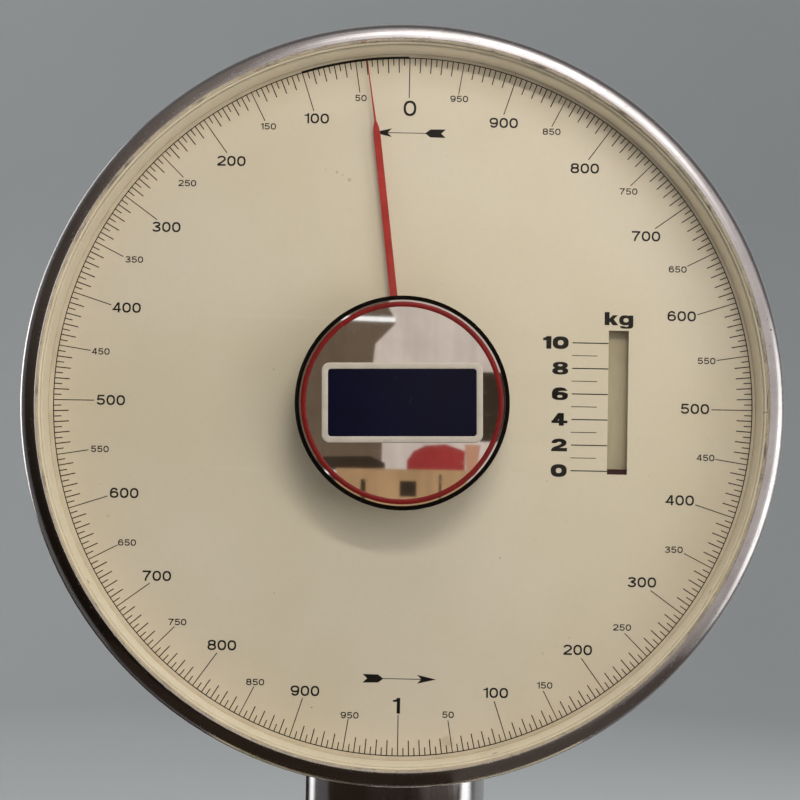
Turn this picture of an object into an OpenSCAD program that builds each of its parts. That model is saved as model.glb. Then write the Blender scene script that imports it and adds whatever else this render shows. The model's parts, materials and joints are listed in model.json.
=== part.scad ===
// Counter dial scale, 10 kg by 5 g. A double-faced round head stands on an oval
// neck at the back of a low base, and the goods plate rides in front of it.
// The plate presses a lever in the base, the lever's long end pulls a draw rod up
// the neck, and the rod stretches two springs and turns the pointer arbor through a
// rack and pinion: five turns for 10 kg. A second rack on the other side of the same
// pinion rises with the load and carries the red kilogram flags behind the slots.
// Millimetres. +Z up, the photographed dial faces -Y, origin under the middle.

/* [Head] */
// Height of the dial's centre above the counter
head_z = 430; // [425:1:440]
// Distance of the head's middle plane behind the origin
head_y = 110; // [108:1:112]
// Radius of the printed scale circle
scale_r = 180; // [175:1:181]
// Inner radius of the cream wall between dial and glass
wall_r = 182.3; // [182:0.1:182.6]
// Outer radius of the sheet-metal drum
band_r = 189.6; // [189.4:0.1:189.8]
// Distance of the dial's face from the middle plane
dial_s = 33; // [32.5:0.5:33.5]
// Distance of the glass's inner face from the middle plane
glass_s = 52.5; // [52:0.5:52.5]
// Thickness of the glass
glass_t = 3; // [2.5:0.5:3]
// Radius of the mirrored hub disc
hub_r = 54; // [50:1:58]
// Thickness of the hub disc
hub_t = 5; // [4:0.5:6]
// Turn of the badge on the hub disc, in degrees
badge_turn = 1.1; // [0:0.1:1.5]

/* [Bezel] */
// Radius of the bezel's crown, close to the glass
bezel_r = 184.3; // [184.2:0.1:184.4]
// Width of the rounded slope outside the crown
bezel_a = 8.2; // [8.1:0.1:8.3]
// Radius of the thin lip behind the rounded part
bezel_lip = 193.2; // [193:0.1:193.6]
// Height of the bezel's crown over its widest line
bezel_b = 6.5; // [6:0.5:7]
// Thickness of the bezel's sheet
bezel_t = 1.1; // [1:0.1:1.2]

/* [Pointer] */
// Reading at rest, in grams
rest_g = 39; // [0:1:60]
// Length of the pointer from the arbor to its tip
pointer_l = 178.5; // [170:0.5:179]
// Distance of the blade in front of the dial
pointer_gap = 5; // [4:0.5:8]
// Sideways set of the blade's wide part
pointer_set = 1.5; // [0:0.1:2]

/* [Kilogram window] */
// Middle of the slot, to the right of the dial's centre
slot_x = 111.2; // [111:0.1:112]
// Width of the slot
slot_w = 10.3; // [9:0.1:10.5]
// Lowest point of the slot, from the dial's centre
slot_lo = -33.9; // [-34.2:0.1:-33]
// Highest point of the slot
slot_hi = 40.4; // [40:0.1:41.5]

/* [Rack and pinion] */
// Module of the teeth
gear_m = 0.3; // [0.3:0.01:0.3]
// Teeth on the arbor's pinion
pinion_z = 14; // [14:1:14]
// Thickness of the racks
rack_t = 4; // [3:0.5:5]

/* [Base] */
// Width and depth of the base
base_w = 350; // [350:1:352]
// Level of the base's lower edge
base_z0 = 20; // [20:1:21]
// Level of the base's top
base_z1 = 130; // [130:1:130]
// Corner radius seen from above
base_rc = 30; // [20:1:40]
// Radius along the top edge
base_rt = 12; // [8:1:14]
// Thickness of the base's sheet
base_t = 2; // [1.5:0.5:2]

/* [Neck] */
// Width of the neck, seen from the front
neck_w = 94; // [94:1:98]
// Depth of the neck
neck_d = 70; // [68:1:72]

/* [Plate] */
// Width of the goods plate
plate_w = 350; // [300:1:352]
// Front edge of the goods plate
plate_y0 = -168; // [-170:1:-160]
// Back edge of the goods plate
plate_y1 = 44; // [40:1:46]
// Level of the goods plate's top
plate_z = 162; // [162:1:164]
// Depth of the turned-down edge
plate_h = 16; // [12:1:16]

/* [Lever] */
// Distance from the fulcrum to the draw rod
arm_rod = 217; // [217:1:217]
// Distance from the fulcrum to the load pin
arm_load = 45; // [45:1:45]
// Level of the fulcrum
ful_z = 78; // [78:1:78]

/* [Hidden] */
$fn = 96;

turns = 5;                                   // pointer turns for 10 kg
pitch_r = gear_m * pinion_z / 2;
travel = 2 * PI * pitch_r * turns;           // rack travel for 10 kg
rest_a = rest_g / 2000 * 360;                // pointer angle at rest
lever_a = asin(travel / 2 / arm_rod);        // lever's swing each side of level
ful_y = head_y - arm_rod;                    // fulcrum, seen from the side
load_y = ful_y + arm_load;
rod_x = -6;                                  // draw rod, left of the pinion
rod_y = head_y;
damp_x = 18;
nb = [28, 22];                                // neck bolts, from the neck's middle
cs = [46.2, 33.2];                            // collar screws, from the neck's middle
flag_z0 = -31.4;                               // flag's top edge at zero
flag_h = 73;
glass_f = glass_s + glass_t;                 // glass's outer face
bead_s = glass_f;                            // bezel's widest line
feet = [[-140, -145], [140, -145], [-140, 145], [140, 145]];
screw_a = [45, 135, 225, 315];

// Head frame: x right, y up, z towards the front
module head() translate([0, head_y, head_z]) rotate([90, 0, 0]) children();
// The same piece turned round for the back face
module back() rotate([0, 180, 0]) children();
// The same piece reflected for the back face
module flip() mirror([0, 0, 1]) children();
module ring(r1, r0, h) difference() {
  cylinder(r = r1, h = h);
  translate([0, 0, -1]) cylinder(r = r0, h = h + 2);
}
// Flat outline with round ends, exact
module stadium(w, d, h) {
  translate([-(w - d) / 2, -d / 2, 0]) cube([w - d, d, h]);
  for (s = [-1, 1]) translate([s * (w - d) / 2, 0, 0]) cylinder(d = d, h = h);
}
// Box with rounded upright edges, exact
module rbox(w, d, h, r) {
  translate([-w / 2 + r, -d / 2, 0]) cube([w - 2 * r, d, h]);
  translate([-w / 2, -d / 2 + r, 0]) cube([w, d - 2 * r, h]);
  for (x = [-1, 1], y = [-1, 1])
    translate([x * (w / 2 - r), y * (d / 2 - r), 0]) cylinder(r = r, h = h);
}
// Tray turned upside down: rounded upright edges and a rounded top edge
module dome_box(w, d, z0, z1, rc, rt)
  hull() for (x = [-1, 1], y = [-1, 1]) translate([x * (w / 2 - rc), y * (d / 2 - rc), 0]) {
    translate([0, 0, z0]) cylinder(r = rc, h = 1, $fn = 32);
    translate([0, 0, z1 - rt]) rotate_extrude($fn = 32) translate([rc - rt, 0])
      intersection() { circle(r = rt, $fn = 32); square([rt, rt]); }
  }

// ---------- base ----------
module base_cover() color([0.86, 0.82, 0.70]) {
  difference() {
    dome_box(base_w, base_w, base_z0, base_z1, base_rc, base_rt);
    dome_box(base_w - 2 * base_t, base_w - 2 * base_t, base_z0 - 5, base_z1 - base_t,
             base_rc - base_t, base_rt - base_t);
    translate([0, load_y, 100]) cylinder(r = 12.5, h = 50);
    translate([rod_x, rod_y, 100]) cylinder(r = 5, h = 50);
    for (x = [-1, 1], y = [-1, 1]) translate([x * cs[0], head_y + y * cs[1], 100]) cylinder(r = 2.6, h = 50);
    translate([150, 40, 75]) rotate([0, 90, 0]) cylinder(r = 4.06, h = 50);
  }
  for (x = [-1, 1], y = [-1, 1]) translate([x * 150, y * 118, 0]) difference() {
    translate([0, 0, base_z0 + 3.1]) cylinder(r = 6, h = base_z1 - base_t - base_z0 - 3.1 + 0.5);
    translate([0, 0, base_z0]) cylinder(r = 2.5, h = 24);
  }
}
module base_plate() color([0.55, 0.56, 0.57]) difference() {
  translate([0, 0, base_z0]) rbox(base_w - 2 * base_t - 0.6, base_w - 2 * base_t - 0.6, 3, base_rc - base_t - 0.3);
  for (f = feet) translate([f[0], f[1], 0]) cylinder(r = 4.08, h = 40);
  for (x = [-1, 1], y = [-1, 1]) translate([x * 150, y * 118, 0]) cylinder(r = 2.6, h = 40);
}
// One pan-head screw, head down at z 0
module screw(r, l, hr, hh) {
  cylinder(r = r, h = l);
  difference() {
    translate([0, 0, -hh]) cylinder(r = hr, h = hh);
    translate([-hr, -0.4, -hh - 1]) cube([2 * hr, 0.8, 1 + hh / 2]);
  }
}
module base_screws() color([0.75, 0.76, 0.78]) {
  for (x = [-1, 1], y = [-1, 1]) translate([x * 150, y * 118, base_z0]) screw(2.4, 18, 4.2, 2.6);
  for (x = [-1, 1], y = [-1, 1]) translate([x * cs[0], head_y + y * cs[1], base_z1 + 6])
    mirror([0, 0, 1]) screw(2.4, 18, 4.2, 2.6);
}
// Two uprights on a foot, bored for the fulcrum pin and the stay's pin
module fulcrum_bracket() color([0.40, 0.42, 0.44]) difference() {
  union() {
    translate([-24, ful_y - 18, base_z0 + 3]) cube([48, 36, 5]);
    for (x = [-18.5, 13.5]) translate([x, ful_y - 12, base_z0 + 3]) cube([5, 24, 67]);
  }
  translate([-30, ful_y, ful_z]) rotate([0, 90, 0]) cylinder(r = 3.05, h = 60);
  translate([-30, ful_y, ful_z - 40]) rotate([0, 90, 0]) cylinder(r = 2.55, h = 60);
}

// ---------- neck ----------
module neck() color([0.80, 0.80, 0.81]) difference() {
  union() {
    difference() {
      translate([0, head_y, base_z1]) stadium(neck_w, neck_d, 130);
      translate([0, head_y, base_z1 - 1]) stadium(neck_w - 4, neck_d - 4, 132);
    }
    translate([0, head_y, base_z1]) difference() {
      stadium(neck_w + 14, neck_d + 14, 3);
      translate([0, 0, -1]) stadium(neck_w - 4, neck_d - 4, 5);
    }
    translate([0, head_y, 214]) difference() {
      stadium(neck_w - 3, neck_d - 3, 40);
      translate([-32, -15, -1]) cube([64, 30, 42]);
    }
  }
  translate([0, head_y - 60, head_z]) rotate([-90, 0, 0]) cylinder(r = band_r + 0.1, h = 120);
  for (x = [-1, 1], y = [-1, 1]) translate([x * nb[0], head_y + y * nb[1], 200]) cylinder(r = 3.2, h = 80);
  for (x = [-1, 1], y = [-1, 1]) translate([x * nb[0], head_y + y * nb[1], 200]) cylinder(r = 5.4, h = 22);
}
module neck_collar() color([0.80, 0.80, 0.81]) difference() {
  translate([0, head_y, base_z1]) union() {
    stadium(neck_w + 32, neck_d + 32, 6);
    stadium(neck_w + 8, neck_d + 8, 13);
  }
  translate([0, head_y, base_z1 - 1]) stadium(neck_w + 14.4, neck_d + 14.4, 4.02);
  translate([0, head_y, base_z1 - 1]) stadium(neck_w + 0.3, neck_d + 0.3, 20);
  for (x = [-1, 1], y = [-1, 1]) translate([x * cs[0], head_y + y * cs[1], base_z1 - 1]) cylinder(r = 2.6, h = 30);
}
module dashpot_cylinder() color([0.78, 0.66, 0.34]) translate([damp_x, head_y, base_z1]) difference() {
  cylinder(r = 13, h = 102);
  translate([0, 0, 3]) cylinder(r = 11.5, h = 96);
  cylinder(r = 2.3, h = 0.01);
  translate([0, 0, 90]) cylinder(r = 2.3, h = 20);
}
module head_bolts() color([0.72, 0.73, 0.75])
  for (x = [-1, 1], y = [-1, 1]) translate([x * nb[0], head_y + y * nb[1], 222]) {
    cylinder(r = 3, h = 30);
    translate([0, 0, -5]) cylinder(r = 5, h = 5, $fn = 6);
  }

// ---------- drum ----------
// Sheet-metal band with a lip turned in at each edge
module head_drum() color([0.84, 0.80, 0.68]) head() difference() {
  union() {
    translate([0, 0, -49.1]) ring(band_r, band_r - 1.2, 98.2);
    for (z = [-49.1, 47.6]) translate([0, 0, z]) ring(band_r - 0.5, wall_r + 2.3, 1.5);
  }
  translate([-32, -200, -15]) cube([64, 30, 30]);
  for (x = [-1, 1], z = [-1, 1]) translate([x * nb[0], -200, z * nb[1]]) rotate([-90, 0, 0]) cylinder(r = 3.2, h = 40);
  for (a = screw_a, z = [-42.5, 42.5]) rotate([0, 0, a]) translate([170, 0, z]) rotate([0, 90, 0]) cylinder(r = 1.6, h = 40);
}
module movement_cradle() color([0.45, 0.46, 0.48]) head() difference() {
  intersection() {
    translate([-52, -190, -28]) cube([104, 35, 56]);
    translate([0, 0, -30]) cylinder(r = band_r - 1.3, h = 60);
  }
  translate([-32, -200, -15]) cube([64, 60, 30]);
  translate([-60, -171, 18.9]) cube([120, 30, 2.7]);
  translate([-60, -171, -21.6]) cube([120, 30, 2.7]);
  for (x = [-1, 1], z = [-1, 1]) translate([x * nb[0], -200, z * nb[1]]) rotate([-90, 0, 0]) cylinder(r = 3.02, h = 24);
}
// Rolled bezel: skirt over the drum, then a slope that rises to its crown and turns in over the glass
function bead(a, ai, b, a0, n) =
  [for (i = [0:n]) let (t = a0 + (165 - a0) * i / n) [bezel_r + (t > 90 ? ai : a) * cos(t), bead_s + b * sin(t)]];
module bezel() rotate_extrude($fn = 180) polygon(concat(
  [[band_r + 0.1, 38], [band_r + 0.7, 36.9], [band_r + 1.7, 36.9], [band_r + 1.2, 38.4], [band_r + 1.2, 49.4],
   [bezel_lip - 0.3, 49.7], [bezel_lip, 50.2], [bezel_lip - 0.3, 50.7], [band_r + 1.5, 50.95]],
  bead(bezel_a, 0.8, bezel_b, -32, 30), [[183.5, glass_f + 1.25], [184.6, glass_f + 1.25]],
  [for (i = [26:-1:0]) bead(bezel_a - bezel_t, -0.3, bezel_b - bezel_t, -45, 26)[i]],
  [[band_r + 0.1, 48.6]]));
module holed_bezel() difference() {
  bezel();
  for (a = screw_a) rotate([0, 0, a]) translate([180, 0, 42.5]) rotate([0, 90, 0]) cylinder(r = 1.6, h = 30);
}
module front_bezel() color([0.82, 0.82, 0.83]) head() holed_bezel();
module rear_bezel() color([0.82, 0.82, 0.83]) head() back() holed_bezel();
module bezel_screws() color([0.75, 0.76, 0.78]) head()
  for (a = screw_a, z = [-42.5, 42.5]) rotate([0, 0, a]) translate([band_r + 1.3, 0, z]) rotate([0, -90, 0])
    screw(1.45, 5.5, 2.5, 1.2);
module glass() translate([0, 0, glass_s]) cylinder(r = 187, h = glass_t, $fn = 180);
module front_glass() color([0.86, 0.92, 0.92, 0.35]) head() glass();
module rear_glass() color([0.86, 0.92, 0.92, 0.35]) head() back() glass();
// Cream glazing bead, a channel round the glass's edge
module seal() rotate_extrude($fn = 180) polygon([
  [wall_r + 0.4, glass_s - 1.2], [188.2, glass_s - 1.2], [188.2, glass_f + 1.2], [wall_r + 0.5, glass_f + 1.2],
  [wall_r + 0.3, glass_f + 0.8], [wall_r + 0.3, glass_f + 0.02], [187.05, glass_f + 0.02], [187.05, glass_s - 0.02],
  [wall_r + 0.4, glass_s - 0.02]]);
module front_seal() color([0.84, 0.79, 0.60]) head() seal();
module rear_seal() color([0.84, 0.79, 0.60]) head() back() seal();
// Cream wall between dial and glass, with a ledge behind the dial
module surround() rotate_extrude($fn = 180) polygon([
  [176, dial_s - 3.5], [wall_r + 1.8, dial_s - 3.5], [wall_r + 1.8, 49.12], [188.2, 49.12],
  [188.2, glass_s - 1.25], [wall_r, glass_s - 1.25], [wall_r, dial_s - 1.5], [176, dial_s - 1.5]]);
module front_surround() color([0.87, 0.83, 0.70]) head() surround();
module rear_surround() color([0.87, 0.83, 0.70]) head() back() surround();
module dial() difference() {
  translate([0, 0, dial_s - 1.48]) cylinder(r = wall_r - 0.1, h = 1.48, $fn = 180);
  translate([0, 0, 20]) cylinder(r = 6, h = 20);
  translate([slot_x - slot_w / 2, slot_lo, 20]) cube([slot_w, slot_hi - slot_lo, 20]);
}
module front_dial() color([0.88, 0.84, 0.71]) head() dial();
module rear_dial() color([0.88, 0.84, 0.71]) head() flip() dial();
// Channel behind the slot: a cream back and two rails that guide the flag
module channel() {
  x0 = slot_x - 10; z0 = dial_s - 8;
  translate([x0, slot_lo - 3, z0]) cube([20, slot_hi - slot_lo + 7, 1]);
  translate([x0, slot_lo - 3, z0]) cube([2.8, slot_hi - slot_lo + 7, 6.52]);
  translate([x0 + 17.2, slot_lo - 3, z0]) cube([2.8, slot_hi - slot_lo + 7, 6.52]);
  translate([x0, slot_hi + 1.5, z0]) cube([20, 2.5, 6.52]);
}
module flag_channels() color([0.80, 0.76, 0.64]) head() { channel(); flip() channel(); }
// Mirrored disc with a black rim round it
module hub() {
  translate([0, 0, glass_f]) cylinder(r = hub_r - 2.6, h = hub_t);
  translate([0, 0, glass_f]) rotate_extrude() polygon([[hub_r - 2.55, 0], [hub_r, 0], [hub_r, hub_t - 1.2],
    [hub_r - 1.2, hub_t], [hub_r - 2.55, hub_t]]);
}
module front_hub_disc() color([0.78, 0.79, 0.80]) head() hub();
module rear_hub_disc() color([0.78, 0.79, 0.80]) head() back() hub();
module badge() translate([0, 0, glass_f + hub_t]) rotate([0, 0, badge_turn]) rbox(80.8, 40.2, 1.4, 4);
module front_badge() color([0.10, 0.12, 0.30]) head() badge();
module rear_badge() color([0.10, 0.12, 0.30]) head() back() badge();

// ---------- movement ----------
pillars = [[-42, -140], [70, -140], [-42, 96], [70, 40]];
module mplate() difference() {
  translate([-48, -171, 19]) cube([126, 301, 2.5]);
  translate([-33, -172, 10]) cube([66, 24, 20]);
  translate([0, 0, 10]) cylinder(r = 5.02, h = 20);
  for (p = pillars) translate([p[0], p[1], 10]) cylinder(r = 2.1, h = 20);
  translate([52, -172, 10]) cube([30, 18, 20]);
  translate([34, 62, 10]) cube([50, 70, 20]);
}
module front_movement_plate() color([0.78, 0.66, 0.34]) head() mplate();
module rear_movement_plate() color([0.78, 0.66, 0.34]) head() flip() mplate();
module movement_pillars() color([0.72, 0.72, 0.74]) head() for (p = pillars) translate([p[0], p[1], 0]) difference() {
  translate([0, 0, -19]) cylinder(r = 4, h = 38);
  for (s = [-1, 1]) translate([0, 0, s * 15]) cylinder(r = 2, h = 12, center = true);
}
module plate_screws() color([0.75, 0.76, 0.78]) head() for (p = pillars, s = [0, 1]) mirror([0, 0, s])
  translate([p[0], p[1], 21.5]) mirror([0, 0, 1]) screw(1.9, 10, 3.6, 2.2);
module arbor_bushes() color([0.80, 0.55, 0.30]) head() for (s = [0, 1]) mirror([0, 0, s]) difference() {
  union() {
    translate([0, 0, 17.3]) cylinder(r = 7, h = 1.6);
    translate([0, 0, 18.85]) cylinder(r = 5, h = 3.6);
  }
  translate([0, 0, 10]) cylinder(r = 2.03, h = 20);
}
module rack_guides() color([0.90, 0.90, 0.86]) head() for (s = [-1, 1]) {
  translate([s * 11.6 - 2.5, 5, -19]) cube([5, 12, 22]);
  translate([s * 11.6 - 5.5, 5, -19]) cube([11, 12, 3]);
}
module spring_hanger() color([0.45, 0.46, 0.48]) head() difference() {
  translate([-38, 116, -19]) cube([76, 8, 38]);
  for (x = [-1, 1]) translate([x * 30, 110, -11]) rotate([-90, 0, 0]) cylinder(r = 1.3, h = 20);
}
// Close-wound tension spring drawn as a corrugated sleeve with its two hooks
module spring() {
  n = 34; y0 = -4; y1 = 108; p = (y1 - y0) / n;
  difference() {
    rotate([-90, 0, 0]) translate([0, 0, y0]) rotate_extrude($fn = 48) polygon(concat(
      [[0, 0]], [for (i = [0:n - 1], k = [0, 1]) [k == 0 ? 5.2 : 6, (i + k / 2) * p]], [[5.2, y1 - y0], [0, y1 - y0]]));
    rotate([-90, 0, 0]) translate([0, 0, y0 + 2]) cylinder(r = 4.4, h = y1 - y0 - 4);
  }
  rotate([-90, 0, 0]) translate([0, 0, -20]) cylinder(r = 1.1, h = 16.5);
  rotate([-90, 0, 0]) translate([0, 0, y1 - 0.5]) cylinder(r = 1.1, h = 16.5);
}
module springs() color([0.62, 0.63, 0.65]) head() for (x = [-1, 1]) translate([x * 30, 0, -11]) spring();
module flag_guide_rod() color([0.75, 0.76, 0.78]) head() {
  translate([60, -134, 0]) rotate([-90, 0, 0]) cylinder(r = 2, h = 116);
  for (y = [-134, -24]) difference() {
    translate([55, y, -19]) cube([10, 6, 38]);
    translate([60, y - 1, 0]) rotate([-90, 0, 0]) cylinder(r = 2.02, h = 8);
  }
}

// Pinion with involute flanks, and racks with straight ones
alpha = 20;
rb = pitch_r * cos(alpha);
function inv(a) = tan(a) * 180 / PI - a;
function half_at(r) = 90 / pinion_z - 0.03 / pitch_r * 180 / PI / 2 + inv(alpha) - (r > rb ? inv(acos(rb / r)) : 0);
pin_r = [pitch_r - 1.05 * gear_m, rb, 1.99, 2.04, 2.1, 2.17, 2.24, 2.32, pitch_r + 0.95 * gear_m];
module pinion2d() polygon([for (i = [0:pinion_z - 1], k = [0:17]) let (
  c = i * 360 / pinion_z, r = k < 9 ? pin_r[k] : pin_r[17 - k], h = half_at(r) * (k < 9 ? -1 : 1))
  [r * cos(c + h), r * sin(c + h)]]);
pitch = PI * gear_m;
// Toothed edge from tooth k0 to k1 along +y, teeth towards +x from x = -pitch_r
module rack2d(k0, k1, back_x, y0, y1) {
  xt = -pitch_r + 0.8 * gear_m; xr = -pitch_r - 1.25 * gear_m;
  w = pitch / 4 - 0.015; ta = tan(alpha);
  polygon(concat([[back_x, y0], [xr, y0]],
    [for (k = [k0:k1], j = [0:3]) let (c = (k + 0.5) * pitch,
       x = (j == 1 || j == 2) ? xt : xr, s = j < 2 ? -1 : 1) [x, c + s * (w - (x + pitch_r) * ta)]],
    [[xr, y1], [back_x, y1]]));
}
module arbor() color([0.72, 0.73, 0.75]) head() {
  translate([0, 0, -4.5]) linear_extrude(9) pinion2d();
  for (s = [0, 1]) mirror([0, 0, s]) {
    translate([0, 0, 4.4]) cylinder(r = 3, h = 12.6);
    translate([0, 0, 16.9]) cylinder(r = 2, h = 8);
    translate([0, 0, 24.8]) cylinder(r = 1.5, h = dial_s + pointer_gap + 3 - 24.8);
  }
}
// Blade with a long thin tip, a shoulder, and a tail weight hidden by the hub disc
function blade_x(r) = r < 141 ? pointer_set : pointer_set - (pointer_set - 0.5) * (r - 141) / (pointer_l - 141);
module pointer() rotate([0, 0, rest_a]) {
  s = dial_s + pointer_gap;
  w = [[8, 1.95], [60, 1.9], [139.5, 1.8], [143.5, 1.5], [147, 0.55], [154, 0.45], [161, 0.34], [pointer_l, 0.24]];
  difference() {
    union() {
      translate([0, 0, s]) linear_extrude(0.8) polygon(concat(
        [for (p = w) [blade_x(p[0]) + p[1], p[0]]], [for (i = [7:-1:0]) [blade_x(w[i][0]) - w[i][1], w[i][0]]]));
      translate([0, 0, s]) linear_extrude(0.8) polygon([[-2, 4], [2, 4], [3, -30], [-3, -30]]);
      translate([0, 0, s - 1.6]) cylinder(r = 9, h = 2.4);
      translate([0, -34, s - 1]) cylinder(r = 11, h = 3.4);
      translate([0, 0, s - 3]) cylinder(r = 4, h = 6);
    }
    translate([0, 0, s - 4]) cylinder(r = 1.52, h = 9);
  }
}
module front_pointer() color([0.72, 0.12, 0.12]) head() pointer();
module rear_pointer() color([0.72, 0.12, 0.12]) head() flip() pointer();

module main_rack() color([0.78, 0.66, 0.34]) head()
  translate([0, 0, -rack_t / 2]) linear_extrude(rack_t) rack2d(-8, 80, -9, -14, 79);
module spring_yoke() color([0.45, 0.46, 0.48]) head() difference() {
  union() {
    translate([-36, -20, -14.5]) cube([72, 6, 6]);
    translate([-9.5, -20, -9]) cube([7, 6, 12]);
  }
  for (x = [-1, 1]) translate([x * 30, -22, -11]) rotate([-90, 0, 0]) cylinder(r = 1.3, h = 10);
  translate([rod_x, -22, 0]) rotate([-90, 0, 0]) cylinder(r = 2.02, h = 10);
}
fork_z = ful_z + arm_rod * sin(lever_a);     // draw pin's level at rest
module draw_rod() color([0.72, 0.73, 0.75]) {
  translate([rod_x, rod_y, fork_z + 14]) cylinder(r = 2, h = head_z - 14.1 - fork_z - 14);
  difference() {
    translate([-13, rod_y - 9, fork_z - 8]) cube([26, 16, 24]);
    translate([-8, rod_y - 20, fork_z - 20]) cube([16, 40, 33]);
    translate([-20, rod_y - 4, fork_z]) rotate([0, 90, 0]) cylinder(r = 3.3, h = 40);
    translate([-20, rod_y + 1, fork_z]) rotate([0, 90, 0]) cylinder(r = 3.3, h = 40);
    translate([-20, rod_y - 4, fork_z - 3.3]) cube([40, 5, 6.6]);
  }
}
module damper_piston() color([0.72, 0.73, 0.75]) {
  difference() {
    translate([rod_x - 4, head_y - 5, 300]) cube([damp_x - rod_x + 8, 10, 6]);
    translate([rod_x, head_y, 290]) cylinder(r = 2.02, h = 30);
  }
  translate([damp_x, head_y, 205]) cylinder(r = 2, h = 96);
  translate([damp_x, head_y, 203]) cylinder(r = 11.2, h = 6);
}
// Second rack on the pinion's right, with the arm that carries both flags
module flag_carriage() color([0.78, 0.66, 0.34]) head() difference() {
  union() {
    mirror([1, 0, 0]) translate([0, 0, -rack_t / 2]) linear_extrude(rack_t) rack2d(-81, 7, -9, -104, 9);
    translate([2.6, -110, -rack_t / 2]) cube([slot_x - 2.6, 6, rack_t]);
    translate([60, -112, 0]) rotate([-90, 0, 0]) cylinder(r = 5, h = 10);
    translate([slot_x - 3, -110, -(dial_s - 4.5)]) cube([6, 6, 2 * (dial_s - 4.5)]);
  }
  translate([60, -114, 0]) rotate([-90, 0, 0]) cylinder(r = 2.06, h = 14);
}
rest_lift = travel * rest_g / 10000;
module flag() translate([slot_x - 6.5, flag_z0 + rest_lift - flag_h - 5.9, dial_s - 4.5]) cube([13, flag_h + 5.9, 1]);
module kg_flags() color([0.62, 0.08, 0.08]) head() { flag(); flip() flag(); }

// ---------- lever work ----------
module at_fulcrum() translate([0, ful_y, ful_z]) rotate([lever_a, 0, 0]) children();
module lever() color([0.40, 0.42, 0.44]) at_fulcrum() difference() {
  union() {
    translate([-6, -14, -9]) cube([12, arm_rod + 4, 18]);
    translate([-6, arm_rod - 12, -9]) cube([12, 21, 18]);
  }
  for (y = [0, arm_load, arm_rod]) translate([-10, y, 0]) rotate([0, 90, 0]) cylinder(r = 3.02, h = 20);
  for (y = [75, 110, 145, 180]) translate([-10, y, 0]) rotate([0, 90, 0]) cylinder(r = 5.5, h = 20);
}
module lever_pins() color([0.72, 0.73, 0.75]) at_fulcrum() {
  translate([-20, 0, 0]) rotate([0, 90, 0]) cylinder(r = 3, h = 40);
  translate([-15, arm_load, 0]) rotate([0, 90, 0]) cylinder(r = 3, h = 30);
  translate([-15, arm_rod, 0]) rotate([0, 90, 0]) cylinder(r = 3, h = 30);
}
module stay_link() color([0.40, 0.42, 0.44]) translate([0, ful_y, ful_z - 40]) rotate([lever_a, 0, 0]) {
  translate([-5, 0, -4]) cube([10, arm_load, 8]);
  for (y = [0, arm_load]) translate([-5, y, 0]) rotate([0, 90, 0]) cylinder(r = 6, h = 10);
  translate([-20, 0, 0]) rotate([0, 90, 0]) cylinder(r = 2.5, h = 40);
  translate([-15, arm_load, 0]) rotate([0, 90, 0]) cylinder(r = 2.5, h = 30);
}
// Spider under the plate, its post, and the yoke that straddles the lever
pan_y = (plate_y0 + plate_y1) / 2;
module platform_spider() color([0.55, 0.56, 0.58]) {
  lz = ful_z + arm_load * sin(lever_a); ly = load_y - 0.27;
  difference() {
    union() {
      translate([-13, load_y - 10, lz - 46]) cube([5, 20, 74]);
      translate([8, load_y - 10, lz - 46]) cube([5, 20, 74]);
      translate([-13, load_y - 10, lz + 20]) cube([26, 20, 8]);
    }
    translate([-20, ly, lz]) rotate([0, 90, 0]) cylinder(r = 3.45, h = 40);
    translate([-20, ly, lz - 40]) rotate([0, 90, 0]) cylinder(r = 2.95, h = 40);
  }
  translate([0, load_y, lz + 27]) cylinder(r = 11, h = 152 - lz - 27);
  translate([0, load_y, 148]) cylinder(r = 24, h = 6);
  translate([-140, load_y - 11, 148]) cube([280, 22, 6]);
  for (x = [-1, 1]) translate([x * 140 - 11, load_y - 75, 148]) cube([22, 150, 6]);
}
module plate_pads() color([0.12, 0.12, 0.12])
  for (x = [-1, 1], y = [-1, 1]) translate([x * 140, load_y + y * 62, 154]) cylinder(r = 8, h = plate_z - 1.5 - 154);
module goods_plate() color([0.78, 0.79, 0.80]) translate([0, pan_y, 0]) difference() {
  dome_box(plate_w, plate_y1 - plate_y0, plate_z - plate_h, plate_z, 22, 5);
  dome_box(plate_w - 3, plate_y1 - plate_y0 - 3, plate_z - plate_h - 3, plate_z - 1.5, 20.5, 3.5);
}
module post_collar() color([0.80, 0.80, 0.81]) translate([0, load_y, 0]) difference() {
  union() {
    translate([0, 0, base_z1]) cylinder(r = 19, h = 2.6);
    translate([0, 0, base_z1 - 8]) cylinder(r = 12.4, h = 9);
  }
  translate([0, 0, base_z1 - 10]) cylinder(r = 11.4, h = 20);
}

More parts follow.
